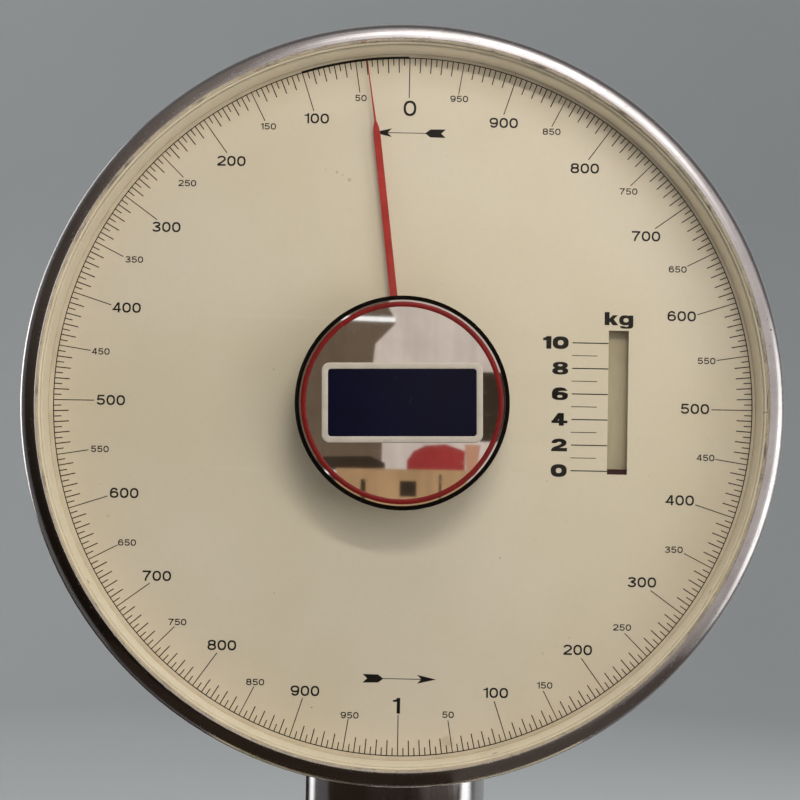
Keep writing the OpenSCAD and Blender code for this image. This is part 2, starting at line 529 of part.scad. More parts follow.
// ---------- small fittings ----------
module level_vial() color([0.80, 0.80, 0.81]) translate([-118, 118, base_z1]) {
  difference() {
    cylinder(r = 15, h = 7);
    translate([0, 0, 1.5]) cylinder(r = 12, h = 10);
  }
  translate([0, 0, 1.55]) cylinder(r = 11.9, h = 4.5);
}
module zero_knob() color([0.10, 0.10, 0.10]) translate([0, 40, 75]) rotate([0, 90, 0]) {
  translate([0, 0, base_w / 2 + 0.6]) difference() {
    cylinder(r = 13, h = 14);
    for (i = [0:23]) rotate([0, 0, i * 15]) translate([13.6, 0, -1]) cylinder(r = 1.2, h = 20, $fn = 16);
  }
  translate([0, 0, base_w / 2 - 34]) cylinder(r = 4, h = 35);
  translate([0, 0, base_w / 2 - 9.4]) cylinder(r = 8, h = 6);
}
module foot(i) translate([feet[i][0], feet[i][1], 0]) {
  color([0.10, 0.10, 0.10]) cylinder(r1 = 16, r2 = 14, h = 7);
  color([0.72, 0.73, 0.75]) {
    translate([0, 0, 7]) difference() {
      cylinder(r = 13, h = 5);
      for (k = [0:23]) rotate([0, 0, k * 15]) translate([13.6, 0, -1]) cylinder(r = 1.2, h = 10, $fn = 16);
    }
    translate([0, 0, 11]) cylinder(r = 4, h = 34);
  }
}
module foot_front_left() foot(0);
module foot_front_right() foot(1);
module foot_rear_left() foot(2);
module foot_rear_right() foot(3);

base_cover();
base_plate();
base_screws();
fulcrum_bracket();
neck();
neck_collar();
dashpot_cylinder();
head_bolts();
movement_cradle();
head_drum();
front_bezel();
rear_bezel();
bezel_screws();
front_glass();
rear_glass();
front_seal();
rear_seal();
front_surround();
rear_surround();
front_dial();
rear_dial();
flag_channels();
front_hub_disc();
rear_hub_disc();
front_badge();
rear_badge();
front_movement_plate();
rear_movement_plate();
movement_pillars();
plate_screws();
arbor_bushes();
rack_guides();
spring_hanger();
springs();
flag_guide_rod();
post_collar();
level_vial();
arbor();
front_pointer();
rear_pointer();
main_rack();
spring_yoke();
draw_rod();
damper_piston();
flag_carriage();
kg_flags();
lever();
lever_pins();
stay_link();
platform_spider();
plate_pads();
goods_plate();
zero_knob();
foot_front_left();
foot_front_right();
foot_rear_left();
foot_rear_right();
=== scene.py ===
import json
import math

import bpy
import numpy as np
from mathutils import Matrix, Quaternion, Vector
from mathutils.geometry import delaunay_2d_cdt


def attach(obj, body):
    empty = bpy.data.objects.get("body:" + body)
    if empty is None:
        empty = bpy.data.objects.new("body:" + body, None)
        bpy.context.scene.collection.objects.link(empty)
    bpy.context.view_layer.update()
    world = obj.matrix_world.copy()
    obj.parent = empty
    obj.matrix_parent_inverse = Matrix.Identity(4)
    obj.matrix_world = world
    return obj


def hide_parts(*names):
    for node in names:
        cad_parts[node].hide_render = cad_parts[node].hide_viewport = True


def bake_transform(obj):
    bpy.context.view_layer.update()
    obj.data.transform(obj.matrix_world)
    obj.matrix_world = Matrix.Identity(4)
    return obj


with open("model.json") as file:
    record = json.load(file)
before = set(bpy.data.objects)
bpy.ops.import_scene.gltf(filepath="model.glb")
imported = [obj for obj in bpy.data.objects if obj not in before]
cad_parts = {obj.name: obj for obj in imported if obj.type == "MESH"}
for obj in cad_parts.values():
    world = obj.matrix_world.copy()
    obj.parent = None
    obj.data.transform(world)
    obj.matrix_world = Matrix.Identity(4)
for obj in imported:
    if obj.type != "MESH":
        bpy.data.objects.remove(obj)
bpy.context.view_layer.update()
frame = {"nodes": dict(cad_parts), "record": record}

nodes = frame["nodes"]

# ---------------------------------------------------------------- head frame
# The dial head's own frame, in millimetres: x right, y up, z towards the reader of the front dial.
HEAD_Y, HEAD_Z = 0.110, 0.430
DIAL_S = 33.0      # dial plate's surface
GLASS_F = 55.5     # glass front


def W(x, y, z):
    return (x / 1000.0, HEAD_Y - z / 1000.0, HEAD_Z + y / 1000.0)


# ---------------------------------------------------------------- materials
class Mat:
    """Node builder for one material. Coordinates are the object's own, in metres."""

    def __init__(self, name):
        self.m = bpy.data.materials.new(name)
        self.m.use_nodes = True
        self.nt = self.m.node_tree
        self.nt.nodes.clear()
        self.out = self.add("ShaderNodeOutputMaterial")
        self.b = self.add("ShaderNodeBsdfPrincipled")
        self.nt.links.new(self.b.outputs[0], self.out.inputs[0])
        self.co = self.add("ShaderNodeTexCoord").outputs["Object"]

    def add(self, kind, **props):
        n = self.nt.nodes.new(kind)
        for k, v in props.items():
            setattr(n, k, v)
        return n

    def put(self, socket, value):
        if hasattr(value, "is_output"):
            self.nt.links.new(value, socket)
        elif isinstance(value, (tuple, list)):
            socket.default_value = tuple(value) if len(value) != 3 or len(socket.default_value) == 3 else (*value, 1.0)
        else:
            socket.default_value = value

    def set(self, **kw):
        names = {"color": "Base Color", "rough": "Roughness", "metal": "Metallic", "normal": "Normal", "ior": "IOR",
                 "coat": "Coat Weight", "coat_rough": "Coat Roughness", "spec": "Specular IOR Level",
                 "aniso": "Anisotropic", "sheen": "Sheen Weight", "sss": "Subsurface Weight", "emit": "Emission Strength",
                 "emit_color": "Emission Color", "trans": "Transmission Weight", "alpha": "Alpha", "aniso_rot": "Anisotropic Rotation",
                 "tangent": "Tangent"}
        for k, v in kw.items():
            self.put(self.b.inputs[names[k]], v)
        return self

    def math(self, op, a, b=0.0, c=None, clamp=False):
        n = self.add("ShaderNodeMath", operation=op, use_clamp=clamp)
        self.put(n.inputs[0], a)
        self.put(n.inputs[1], b)
        if c is not None:
            self.put(n.inputs[2], c)
        return n.outputs[0]

    def scale(self, x, y, z, co=None, rot=(0, 0, 0), loc=(0, 0, 0)):
        n = self.add("ShaderNodeMapping")
        self.put(n.inputs["Vector"], co or self.co)
        n.inputs["Scale"].default_value = (x, y, z)
        n.inputs["Rotation"].default_value = rot
        n.inputs["Location"].default_value = loc
        return n.outputs[0]

    def noise(self, scale, detail=3.0, rough=0.5, co=None, dist=0.0):
        n = self.add("ShaderNodeTexNoise")
        self.put(n.inputs["Vector"], co or self.co)
        n.inputs["Scale"].default_value = scale
        n.inputs["Detail"].default_value = detail
        n.inputs["Roughness"].default_value = rough
        n.inputs["Distortion"].default_value = dist
        return n.outputs["Fac"]

    def spots(self, scale, radius, co=None, random=1.0):
        """1 in small round spots, 0 elsewhere."""
        n = self.add("ShaderNodeTexVoronoi")
        self.put(n.inputs["Vector"], co or self.co)
        n.inputs["Scale"].default_value = scale
        n.inputs["Randomness"].default_value = random
        return self.ramp01(n.outputs["Distance"], radius, radius * 0.55)

    def ramp01(self, fac, zero, one):
        """0 at `zero`, 1 at `one`, smooth between and clamped."""
        n = self.add("ShaderNodeMapRange", interpolation_type="SMOOTHSTEP")
        self.put(n.inputs["Value"], fac)
        n.inputs["From Min"].default_value = min(zero, one)
        n.inputs["From Max"].default_value = max(zero, one)
        n.inputs["To Min"].default_value = 0.0 if zero < one else 1.0
        n.inputs["To Max"].default_value = 1.0 if zero < one else 0.0
        return n.outputs[0]

    def lerp(self, fac, a, b):
        n = self.add("ShaderNodeMapRange")
        self.put(n.inputs["Value"], fac)
        self.put(n.inputs["To Min"], a)
        self.put(n.inputs["To Max"], b)
        return n.outputs[0]

    def mix(self, fac, a, b, mode="MIX"):
        n = self.add("ShaderNodeMix", data_type="RGBA", blend_type=mode)
        self.put(n.inputs["Factor"], fac)
        self.put(n.inputs[6], a if not isinstance(a, tuple) else (*a[:3], 1.0))
        self.put(n.inputs[7], b if not isinstance(b, tuple) else (*b[:3], 1.0))
        return n.outputs[2]

    def bump(self, height, distance, strength=1.0, normal=None):
        n = self.add("ShaderNodeBump")
        n.inputs["Strength"].default_value = strength
        n.inputs["Distance"].default_value = distance
        self.put(n.inputs["Height"], height)
        if normal is not None:
            self.put(n.inputs["Normal"], normal)
        return n.outputs[0]

    def bevel(self, radius, samples=4):
        n = self.add("ShaderNodeBevel", samples=samples)
        n.inputs["Radius"].default_value = radius
        return n.outputs[0]

    def edge(self, radius, lo=0.02, hi=0.25):
        """1 along sharp edges, from how far a rounded normal leans from the true one."""
        rounded = self.bevel(radius)
        true = self.add("ShaderNodeNewGeometry").outputs["True Normal"]
        d = self.add("ShaderNodeVectorMath", operation="DOT_PRODUCT")
        self.put(d.inputs[0], rounded)
        self.put(d.inputs[1], true)
        lean = self.math("SUBTRACT", 1.0, d.outputs["Value"])
        return self.ramp01(lean, lo, hi), rounded

    def xyz(self, co=None):
        n = self.add("ShaderNodeSeparateXYZ")
        self.put(n.inputs[0], co or self.co)
        return n.outputs[0], n.outputs[1], n.outputs[2]

    def head_radius(self):
        """Distance from the head's axis, in metres."""
        x, y, z = self.xyz()
        dz = self.math("SUBTRACT", z, HEAD_Z)
        return self.math("SQRT", self.math("ADD", self.math("MULTIPLY", x, x), self.math("MULTIPLY", dz, dz)))

    def head_polar(self):
        """Position unrolled round the head's axis: (angle x 0.19 m, depth, radius)."""
        x, y, z = self.xyz()
        dz = self.math("SUBTRACT", z, HEAD_Z)
        a = self.math("MULTIPLY", self.math("ARCTAN2", dz, x), 0.19)
        n = self.add("ShaderNodeCombineXYZ")
        self.put(n.inputs[0], a)
        self.put(n.inputs[1], y)
        self.put(n.inputs[2], self.head_radius())
        return n.outputs[0]

    def near(self, p, radius, soft=0.5):
        """1 within radius metres of a point, 0 beyond."""
        n = self.add("ShaderNodeVectorMath", operation="DISTANCE")
        self.put(n.inputs[0], self.co)
        n.inputs[1].default_value = p
        wob = self.noise(900, 2, 0.6)
        d = self.math("ADD", n.outputs["Value"], self.math("MULTIPLY", self.math("SUBTRACT", wob, 0.5), radius * 1.2))
        return self.ramp01(d, radius, radius * soft)


def srgb(r, g, b):
    f = lambda c: c / 12.92 if c <= 0.04045 else ((c + 0.055) / 1.055) ** 2.4
    return tuple(f(v / 255.0) for v in (r, g, b))


def enamel(name, base, dirt, rough=0.32, peel=0.00002, wear=None):
    """Baked enamel: slight orange peel, uneven yellowing, specks, grime and worn edges."""
    k = Mat(name)
    tone = k.ramp01(k.noise(9, 3, 0.5), 0.35, 0.7)
    col = k.mix(tone, tuple(c * 1.03 for c in base), (base[0] * 0.96, base[1] * 0.945, base[2] * 0.90))
    fine = k.ramp01(k.noise(420, 2, 0.6), 0.45, 0.75)
    col = k.mix(k.math("MULTIPLY", fine, 0.10), col, tuple(c * 0.82 for c in base))
    speck = k.math("MULTIPLY", k.spots(150, 0.07), k.ramp01(k.noise(31, 2), 0.5, 0.62))
    col = k.mix(k.math("MULTIPLY", speck, 0.75), col, dirt)
    stain = k.ramp01(k.noise(24, 4, 0.65, dist=0.6), 0.62, 0.82)
    col = k.mix(k.math("MULTIPLY", stain, 0.22), col, dirt)
    edge, rounded = k.edge(0.0006)
    worn = k.math("MULTIPLY", edge, k.ramp01(k.noise(130, 3, 0.6), 0.44, 0.58))
    col = k.mix(k.math("MULTIPLY", worn, 0.7), col, wear or tuple(c * 0.55 for c in base))
    peel_h = k.noise(600, 2, 0.5)
    scr = k.ramp01(k.noise(60, 2, 0.5, co=k.scale(1.0, 1.0, 26.0, rot=(0.4, 0.9, 0.3))), 0.66, 0.70)
    k.set(color=col, rough=k.lerp(k.ramp01(k.noise(45, 3, 0.6), 0.3, 0.75), rough * 0.82, rough * 1.35), coat=0.25, coat_rough=0.12,
          normal=k.bump(k.math("ADD", peel_h, k.math("MULTIPLY", scr, -0.5)), peel, 0.5, rounded))
    return k


def steel(name, base, rough, brushed=None, metal=1.0, dirt=(0.10, 0.085, 0.07), stains=0.25, edges=True):
    """Bare or plated metal: brushing or fine scratches, cloudy patches, dirt spots."""
    k = Mat(name)
    cloud = k.ramp01(k.noise(38, 4, 0.6), 0.3, 0.75)
    col = k.mix(cloud, tuple(min(1.0, c * 1.05) for c in base), tuple(c * 0.88 for c in base))
    if brushed:
        line = k.noise(1.0, 3, 0.7, co=k.scale(*brushed))
    else:
        line = k.noise(120, 3, 0.7, co=k.scale(1.0, 9.0, 1.0, rot=(0.3, 0.7, 0.2)))
    col = k.mix(k.math("MULTIPLY", k.ramp01(line, 0.35, 0.7), 0.22), col, tuple(c * 0.70 for c in base))
    spot = k.math("MULTIPLY", k.spots(210, 0.10), k.ramp01(k.noise(26, 3), 0.50, 0.64))
    col = k.mix(k.math("MULTIPLY", spot, stains * 2.2), col, dirt)
    haze = k.ramp01(k.noise(17, 4, 0.6, dist=0.4), 0.52, 0.8)
    r = k.lerp(k.ramp01(line, 0.3, 0.75), rough * 0.75, rough * 1.35)
    r = k.math("ADD", r, k.math("MULTIPLY", haze, rough * 0.5))
    normal = k.bevel(0.0004) if edges else None
    k.set(color=col, metal=metal, rough=r, normal=k.bump(line, 0.000012, 0.6, normal))
    return k


def plastic(name, base, rough, grain=900, coat=0.0, dust=(0.35, 0.33, 0.30)):
    k = Mat(name)
    tone = k.ramp01(k.noise(30, 3, 0.6), 0.3, 0.75)
    col = k.mix(tone, tuple(c * 1.08 for c in base), tuple(c * 0.86 for c in base))
    up = k.add("ShaderNodeNewGeometry").outputs["Normal"]
    upz = k.xyz(up)[2]
    d = k.math("MULTIPLY", k.ramp01(upz, 0.2, 0.95), k.ramp01(k.noise(70, 4, 0.7), 0.42, 0.72))
    col = k.mix(k.math("MULTIPLY", d, 0.22), col, dust)
    edge, rounded = k.edge(0.0005)
    col = k.mix(k.math("MULTIPLY", edge, 0.25), col, tuple(min(1.0, c * 1.6 + 0.02) for c in base))
    k.set(color=col, rough=k.lerp(k.ramp01(k.noise(55, 3, 0.6), 0.3, 0.7), rough * 0.8, rough * 1.25), coat=coat, coat_rough=0.1,
          normal=k.bump(k.noise(grain, 2, 0.5), 0.00003, 0.4, rounded))
    return k


CREAM = (0.690, 0.585, 0.460)
WALL = (0.900, 0.790, 0.640)
DIRT = (0.16, 0.105, 0.055)

# --- dial faces: satin cream print ground, uneven with age
def dial_material(name, side):
    k = Mat(name)
    tone = k.ramp01(k.noise(7.5, 3, 0.55), 0.34, 0.68)
    col = k.mix(tone, (CREAM[0] * 1.03, CREAM[1] * 1.03, CREAM[2] * 1.05), (CREAM[0] * 0.965, CREAM[1] * 0.955, CREAM[2] * 0.91))
    fine = k.noise(310, 3, 0.65)
    col = k.mix(k.math("MULTIPLY", k.ramp01(fine, 0.42, 0.75), 0.10), col, (CREAM[0] * 0.80, CREAM[1] * 0.76, CREAM[2] * 0.66))
    r = k.head_radius()
    rim = k.ramp01(r, 0.1765, 0.1822)      # painted shade: a mottled brown band darkens the dial's edge in the corner against the wall
    col = k.mix(k.math("MULTIPLY", rim, k.lerp(k.ramp01(k.noise(60, 3, 0.6), 0.35, 0.65), 0.10, 0.34)), col, (0.36, 0.28, 0.15))
    speck = k.math("MULTIPLY", k.spots(92, 0.055), k.ramp01(k.noise(19, 2), 0.56, 0.66))
    col = k.mix(k.math("MULTIPLY", speck, 0.65), col, DIRT)
    rub = k.ramp01(k.noise(46, 3, 0.6, co=k.scale(1.0, 1.0, 2.6, rot=(0, 0.5, 0))), 0.70, 0.80)
    col = k.mix(k.math("MULTIPLY", rub, 0.12), col, (0.42, 0.31, 0.18))
    if side > 0:                            # a tan stain by the lowest marks, and a few flecks at the upper left
        st = k.near(W(26.0, -172.5, DIAL_S), 0.0042, 0.35)
        col = k.mix(k.math("MULTIPLY", st, 0.34), col, (0.36, 0.25, 0.13))
        for x, y, rr in ((-36, 120, 0.0010), (-29.5, 116, 0.0013), (-33, 118.5, 0.0007), (-42, 121, 0.0006), (-150, -60, 0.0008), (88, -118, 0.0007), (-64, -98, 0.0007)):
            col = k.mix(k.math("MULTIPLY", k.near(W(x, y, DIAL_S), rr, 0.3), 0.45), col, (0.30, 0.19, 0.10))
    k.set(color=col, rough=k.lerp(k.ramp01(k.noise(40, 3, 0.6), 0.3, 0.7), 0.40, 0.56),
          normal=k.bump(k.noise(850, 2, 0.5), 0.00001, 0.4))
    return k.m


m_dial = dial_material("m_dial_front", 1)
m_dial_rear = dial_material("m_dial_rear", -1)

# --- walls between dial and glass
def wall_material():
    k = Mat("m_wall")
    tone = k.ramp01(k.noise(14, 3, 0.55), 0.35, 0.7)
    col = k.mix(tone, tuple(c * 1.01 for c in WALL), (WALL[0] * 0.98, WALL[1] * 0.975, WALL[2] * 0.95))
    x, y, z = k.xyz()
    depth = k.math("ABSOLUTE", k.math("SUBTRACT", y, HEAD_Y))
    # painted shade: the wall darkens, mottled brown, towards its front edge in the corner against the bead
    dark_mottle = k.math("MULTIPLY", k.ramp01(depth, 0.0475, 0.0512), k.lerp(k.ramp01(k.noise(95, 4, 0.65), 0.35, 0.7), 0.01, 0.08))
    col = k.mix(dark_mottle, col, (0.34, 0.26, 0.12))
    run = k.ramp01(k.noise(70, 3, 0.6, co=k.scale(1.0, 0.25, 1.0)), 0.62, 0.78)
    col = k.mix(k.math("MULTIPLY", run, 0.05), col, (0.38, 0.28, 0.13))
    speck = k.math("MULTIPLY", k.spots(160, 0.07), k.ramp01(k.noise(33, 2), 0.52, 0.64))
    col = k.mix(k.math("MULTIPLY", speck, 0.8), col, DIRT)
    for px, py, pz, rr in ((50.0, -175.3, 48.5, 0.0021), (157.3, -92.1, 49.5, 0.0017), (-156.8, -93.0, 49.5, 0.0018)):
        col = k.mix(k.math("MULTIPLY", k.near(W(px, py, pz), rr, 0.3), 0.85), col, (0.035, 0.018, 0.008))
    k.set(color=col, rough=0.40, coat=0.06, coat_rough=0.2, normal=k.bump(k.noise(500, 2, 0.5), 0.000006, 0.4))
    return k.m


m_wall = wall_material()

# --- olive-cream glazing bead
def bead_material():
    k = Mat("m_bead")
    tone = k.ramp01(k.noise(60, 4, 0.6), 0.3, 0.75)
    col = k.mix(tone, (0.815, 0.705, 0.520), (0.725, 0.620, 0.430))
    r = k.head_radius()
    gap = k.ramp01(r, 0.18325, 0.18355)     # painted shade: a dark line where the bead meets the bezel
    col = k.mix(k.math("MULTIPLY", gap, 0.80), col, (0.10, 0.07, 0.035))
    # painted shade: the bead darkens at its foot, in the crease against the wall
    foot = k.ramp01(k.math("ABSOLUTE", k.math("SUBTRACT", k.xyz()[1], HEAD_Y)), 0.0530, 0.0518)
    col = k.mix(k.math("MULTIPLY", foot, 0.15), col, (0.24, 0.17, 0.08))
    crumb = k.spots(330, 0.16)
    col = k.mix(k.math("MULTIPLY", crumb, 0.18), col, (0.74, 0.66, 0.48))
    joint = k.math("MULTIPLY", k.ramp01(k.math("ABSOLUTE", k.math("SUBTRACT", k.xyz()[2], HEAD_Z - 0.0012)), 0.00030, 0.00012), k.ramp01(k.xyz()[0], 0.10, 0.12))
    col = k.mix(k.math("MULTIPLY", joint, 0.75), col, (0.05, 0.035, 0.02))
    k.set(color=col, rough=0.52, sheen=0.15, normal=k.bump(k.noise(420, 3, 0.6), 0.00006, 0.6))
    return k.m


m_bead = bead_material()

# --- polished bezel: fine circumferential scratches, specks, rust flecks
def bezel_material():
    k = Mat("m_bezel")
    polar = k.head_polar()
    line = k.noise(1.0, 2, 0.6, co=k.scale(14.0, 5200.0, 5200.0, co=polar))
    speck = k.ramp01(k.noise(520, 3, 0.75, co=k.scale(0.35, 1.0, 1.0, co=polar)), 0.54, 0.70)
    cloud = k.ramp01(k.noise(26, 4, 0.65, co=polar), 0.32, 0.72)
    col = k.mix(cloud, (0.770, 0.745, 0.740), (0.640, 0.610, 0.605))
    col = k.mix(k.math("MULTIPLY", speck, 0.16), col, (0.40, 0.37, 0.36))
    dots = k.math("MULTIPLY", k.spots(240, 0.11), k.ramp01(k.noise(21, 3), 0.46, 0.60))
    col = k.mix(k.math("MULTIPLY", dots, 0.55), col, (0.10, 0.075, 0.06))
    rough = k.lerp(k.ramp01(line, 0.32, 0.72), 0.10, 0.20)
    rough = k.math("ADD", rough, k.math("MULTIPLY", speck, 0.14))
    rough = k.math("ADD", rough, k.math("MULTIPLY", cloud, 0.05))
    # rust has started in a few places and where the bezel meets the bead
    r = k.head_radius()
    inner = k.math("MULTIPLY", k.ramp01(r, 0.1842, 0.1836), k.ramp01(k.noise(75, 4, 0.7), 0.47, 0.66))
    rust = k.math("MULTIPLY", inner, 0.75)
    for x, y, rr in ((-88.0, 163.5, 0.0010), (184.5, 40.0, 0.0009), (120.0, 141.5, 0.0009)):
        rust = k.math("MAXIMUM", rust, k.near(W(x, y, 61.0), rr, 0.25))
    col = k.mix(rust, col, k.mix(k.ramp01(k.noise(700, 3, 0.6), 0.35, 0.65), (0.055, 0.026, 0.014), (0.130, 0.062, 0.030)))
    k.set(color=col, metal=k.math("SUBTRACT", 1.0, k.math("MULTIPLY", rust, 0.85)), rough=k.math("ADD", rough, k.math("MULTIPLY", rust, 0.45)),
          normal=k.bump(k.math("ADD", k.math("MULTIPLY", line, 0.35), k.math("MULTIPLY", rust, 6.0)), 0.0000012, 0.8))
    return k.m


m_bezel = bezel_material()

# --- window glass: lets light straight through and mirrors a little, with dust and wiping marks
def glass_material():
    k = Mat("m_glass")
    nt = k.nt
    nt.nodes.remove(k.b)
    clear = k.add("ShaderNodeBsdfTransparent")
    clear.inputs[0].default_value = (0.972, 0.982, 0.974, 1.0)
    gloss = k.add("ShaderNodeBsdfGlossy")
    gloss.inputs["Color"].default_value = (1.0, 1.0, 1.0, 1.0)
    wipe = k.ramp01(k.noise(30, 3, 0.6, co=k.scale(1.0, 1.0, 3.2, rot=(0, 0.5, 0))), 0.52, 0.80)
    k.put(gloss.inputs["Roughness"], k.lerp(wipe, 0.015, 0.11))
    fres = k.add("ShaderNodeFresnel")
    fres.inputs["IOR"].default_value = 1.5
    pane = k.add("ShaderNodeMixShader")
    # only where a ray enters the pane, and for both faces at once: straight rays would seem to be trapped at the face where they leave
    enter = k.math("SUBTRACT", 1.0, k.add("ShaderNodeNewGeometry").outputs["Backfacing"])
    k.put(pane.inputs[0], k.math("MULTIPLY", k.math("MULTIPLY", fres.outputs[0], 0.40), enter, clamp=True))
    nt.links.new(clear.outputs[0], pane.inputs[1])
    nt.links.new(gloss.outputs[0], pane.inputs[2])
    dust = k.add("ShaderNodeBsdfDiffuse")
    dust.inputs["Color"].default_value = (0.55, 0.52, 0.46, 1.0)
    grit = k.math("MULTIPLY", k.spots(190, 0.050), k.ramp01(k.noise(40, 2), 0.50, 0.60))
    film = k.math("MULTIPLY", k.ramp01(k.noise(16, 4, 0.65), 0.45, 0.85), 0.004)
    edge = k.math("MULTIPLY", k.ramp01(k.head_radius(), 0.1790, 0.1835), k.lerp(k.ramp01(k.noise(85, 4, 0.7), 0.35, 0.7), 0.00, 0.05))
    amount = k.math("ADD", k.math("ADD", k.math("MULTIPLY", grit, 0.35), film), edge, clamp=True)
    last = k.add("ShaderNodeMixShader")
    k.put(last.inputs[0], amount)
    nt.links.new(pane.outputs[0], last.inputs[1])
    nt.links.new(dust.outputs[0], last.inputs[2])
    nt.links.new(last.outputs[0], k.out.inputs[0])
    return k.m


m_glass = glass_material()

# --- hub disc: mirror inside a black rim
def hub_material():
    k = Mat("m_hub")
    r = k.head_radius()
    rim = k.ramp01(r, 0.05170, 0.05176)
    speck = k.math("MULTIPLY", k.spots(230, 0.060), k.ramp01(k.noise(42, 2), 0.50, 0.62))
    speck = k.math("MULTIPLY", speck, k.math("SUBTRACT", 1.0, rim))
    wipe = k.ramp01(k.noise(60, 3, 0.6, co=k.scale(1.0, 1.0, 3.0, rot=(0, 0.6, 0))), 0.55, 0.85)
    col = k.mix(rim, (0.80, 0.785, 0.775), (0.0034, 0.0022, 0.0014))
    col = k.mix(k.math("MULTIPLY", speck, 0.8), col, (0.06, 0.05, 0.04))
    rough = k.math("ADD", k.lerp(rim, 0.018, 0.16), k.math("MULTIPLY", wipe, 0.03))
    k.set(color=col, metal=k.math("SUBTRACT", k.math("SUBTRACT", 1.0, rim), k.math("MULTIPLY", speck, 0.7), clamp=True),
          rough=rough, spec=0.07, normal=k.bump(k.noise(14, 1, 0.4), 0.00003, 0.2))
    return k.m


m_hub = hub_material()

m_cream = enamel("m_cream_enamel", (0.655, 0.590, 0.440), (0.20, 0.14, 0.07), 0.30, wear=(0.26, 0.22, 0.17)).m
m_grey = enamel("m_grey_paint", (0.115, 0.120, 0.125), (0.05, 0.045, 0.04), 0.5, wear=(0.33, 0.32, 0.31)).m
m_zinc = steel("m_zinc", (0.60, 0.61, 0.63), 0.26).m
m_spring = steel("m_spring_wire", (0.42, 0.43, 0.45), 0.22, brushed=(400, 400, 90)).m
m_brass = steel("m_brass", (0.66, 0.47, 0.17), 0.28, dirt=(0.14, 0.08, 0.03)).m
m_alloy = steel("m_alloy", (0.66, 0.67, 0.68), 0.32, brushed=(60, 900, 900)).m
m_stainless = steel("m_stainless", (0.56, 0.565, 0.57), 0.27, brushed=(9, 1100, 1100), stains=0.35).m
m_polish = steel("m_polished", (0.66, 0.65, 0.65), 0.13, brushed=(500, 500, 14), stains=0.30).m
m_white = plastic("m_white_plastic", (0.70, 0.69, 0.65), 0.4).m
m_rubber = plastic("m_rubber", (0.022, 0.021, 0.020), 0.62, grain=500).m
m_black = plastic("m_black_plastic", (0.014, 0.014, 0.014), 0.28, coat=0.3).m


def red_material(name, base, dark):
    k = Mat(name)
    tone = k.ramp01(k.noise(55, 3, 0.6), 0.3, 0.75)
    col = k.mix(tone, base, dark)
    edge, rounded = k.edge(0.0003)
    chip = k.math("MULTIPLY", edge, k.ramp01(k.noise(300, 3, 0.6), 0.50, 0.62))
    col = k.mix(k.math("MULTIPLY", chip, 0.6), col, (0.30, 0.26, 0.24))
    fleck = k.math("MULTIPLY", k.spots(500, 0.10), 0.35)
    col = k.mix(fleck, col, tuple(c * 0.4 for c in dark))
    k.set(color=col, rough=k.lerp(tone, 0.26, 0.40), spec=0.3, coat=0.12, coat_rough=0.12, normal=k.bump(k.noise(700, 2, 0.5), 0.000015, 0.5, rounded))
    return k.m


m_red = red_material("m_red_pointer", (0.430, 0.036, 0.029), (0.320, 0.022, 0.019))
# painted shade: the kilogram flag is the pointer's red paint darkened nearly to black, for the flag down in its slot
m_flag = red_material("m_red_flag", (0.038, 0.0030, 0.0030), (0.026, 0.0022, 0.0022))
m_ring = red_material("m_red_ring", (0.175, 0.0075, 0.0060), (0.125, 0.005, 0.005))


def ink_material():
    k = Mat("m_ink")
    tone = k.ramp01(k.noise(800, 3, 0.65), 0.35, 0.75)
    col = k.mix(tone, (0.0040, 0.0026, 0.0016), (0.0090, 0.0060, 0.0040))
    thin = k.math("MULTIPLY", k.ramp01(k.noise(230, 4, 0.7), 0.64, 0.76), 0.20)
    col = k.mix(thin, col, (0.05, 0.036, 0.024))
    k.set(color=col, rough=k.lerp(tone, 0.45, 0.6), spec=0.3, normal=k.bump(tone, 0.000004, 0.5))
    return k.m


m_ink = ink_material()


def cream_plastic():
    k = Mat("m_badge_border")
    tone = k.ramp01(k.noise(90, 3, 0.6), 0.3, 0.75)
    col = k.mix(tone, (0.500, 0.442, 0.372), (0.440, 0.386, 0.315))
    edge, rounded = k.edge(0.0003)
    dark_mottle = k.math("MULTIPLY", k.ramp01(k.noise(160, 4, 0.7), 0.56, 0.74), 0.28)
    col = k.mix(dark_mottle, col, (0.28, 0.21, 0.12))
    k.set(color=col, rough=0.30, coat=0.4, coat_rough=0.08, normal=k.bump(k.noise(500, 2, 0.5), 0.00002, 0.5, rounded))
    return k.m


m_badge = cream_plastic()


def navy_material():
    k = Mat("m_badge_field")
    tone = k.ramp01(k.noise(35, 3, 0.6), 0.3, 0.75)
    col = k.mix(tone, (0.0010, 0.0022, 0.0150), (0.0007, 0.0015, 0.0100))
    dust = k.math("MULTIPLY", k.spots(260, 0.055), k.ramp01(k.noise(50, 2), 0.48, 0.60))
    col = k.mix(k.math("MULTIPLY", dust, 0.45), col, (0.22, 0.21, 0.22))
    scr = k.ramp01(k.noise(90, 3, 0.6, co=k.scale(1, 1, 14, rot=(0, 0.8, 0))), 0.70, 0.74)
    k.set(color=col, rough=k.lerp(scr, 0.16, 0.28), spec=0.22, normal=k.bump(k.noise(120, 2, 0.5), 0.00001, 0.4))
    return k.m


m_navy = navy_material()


def slot_material():
    """Back and sides of the kilogram slot: tan, a little darker than the dial."""
    k = Mat("m_channel")
    tone = k.ramp01(k.noise(30, 3, 0.6), 0.3, 0.75)
    col = k.mix(tone, (0.475, 0.395, 0.270), (0.410, 0.335, 0.220))
    x, y, z = k.xyz()
    rub = k.ramp01(k.noise(90, 3, 0.6, co=k.scale(6, 6, 0.5)), 0.56, 0.72)
    col = k.mix(k.math("MULTIPLY", rub, 0.18), col, (0.30, 0.22, 0.13))
    k.set(color=col, rough=0.5, normal=k.bump(k.noise(600, 2, 0.5), 0.00002, 0.5))
    return k.m


m_channel = slot_material()


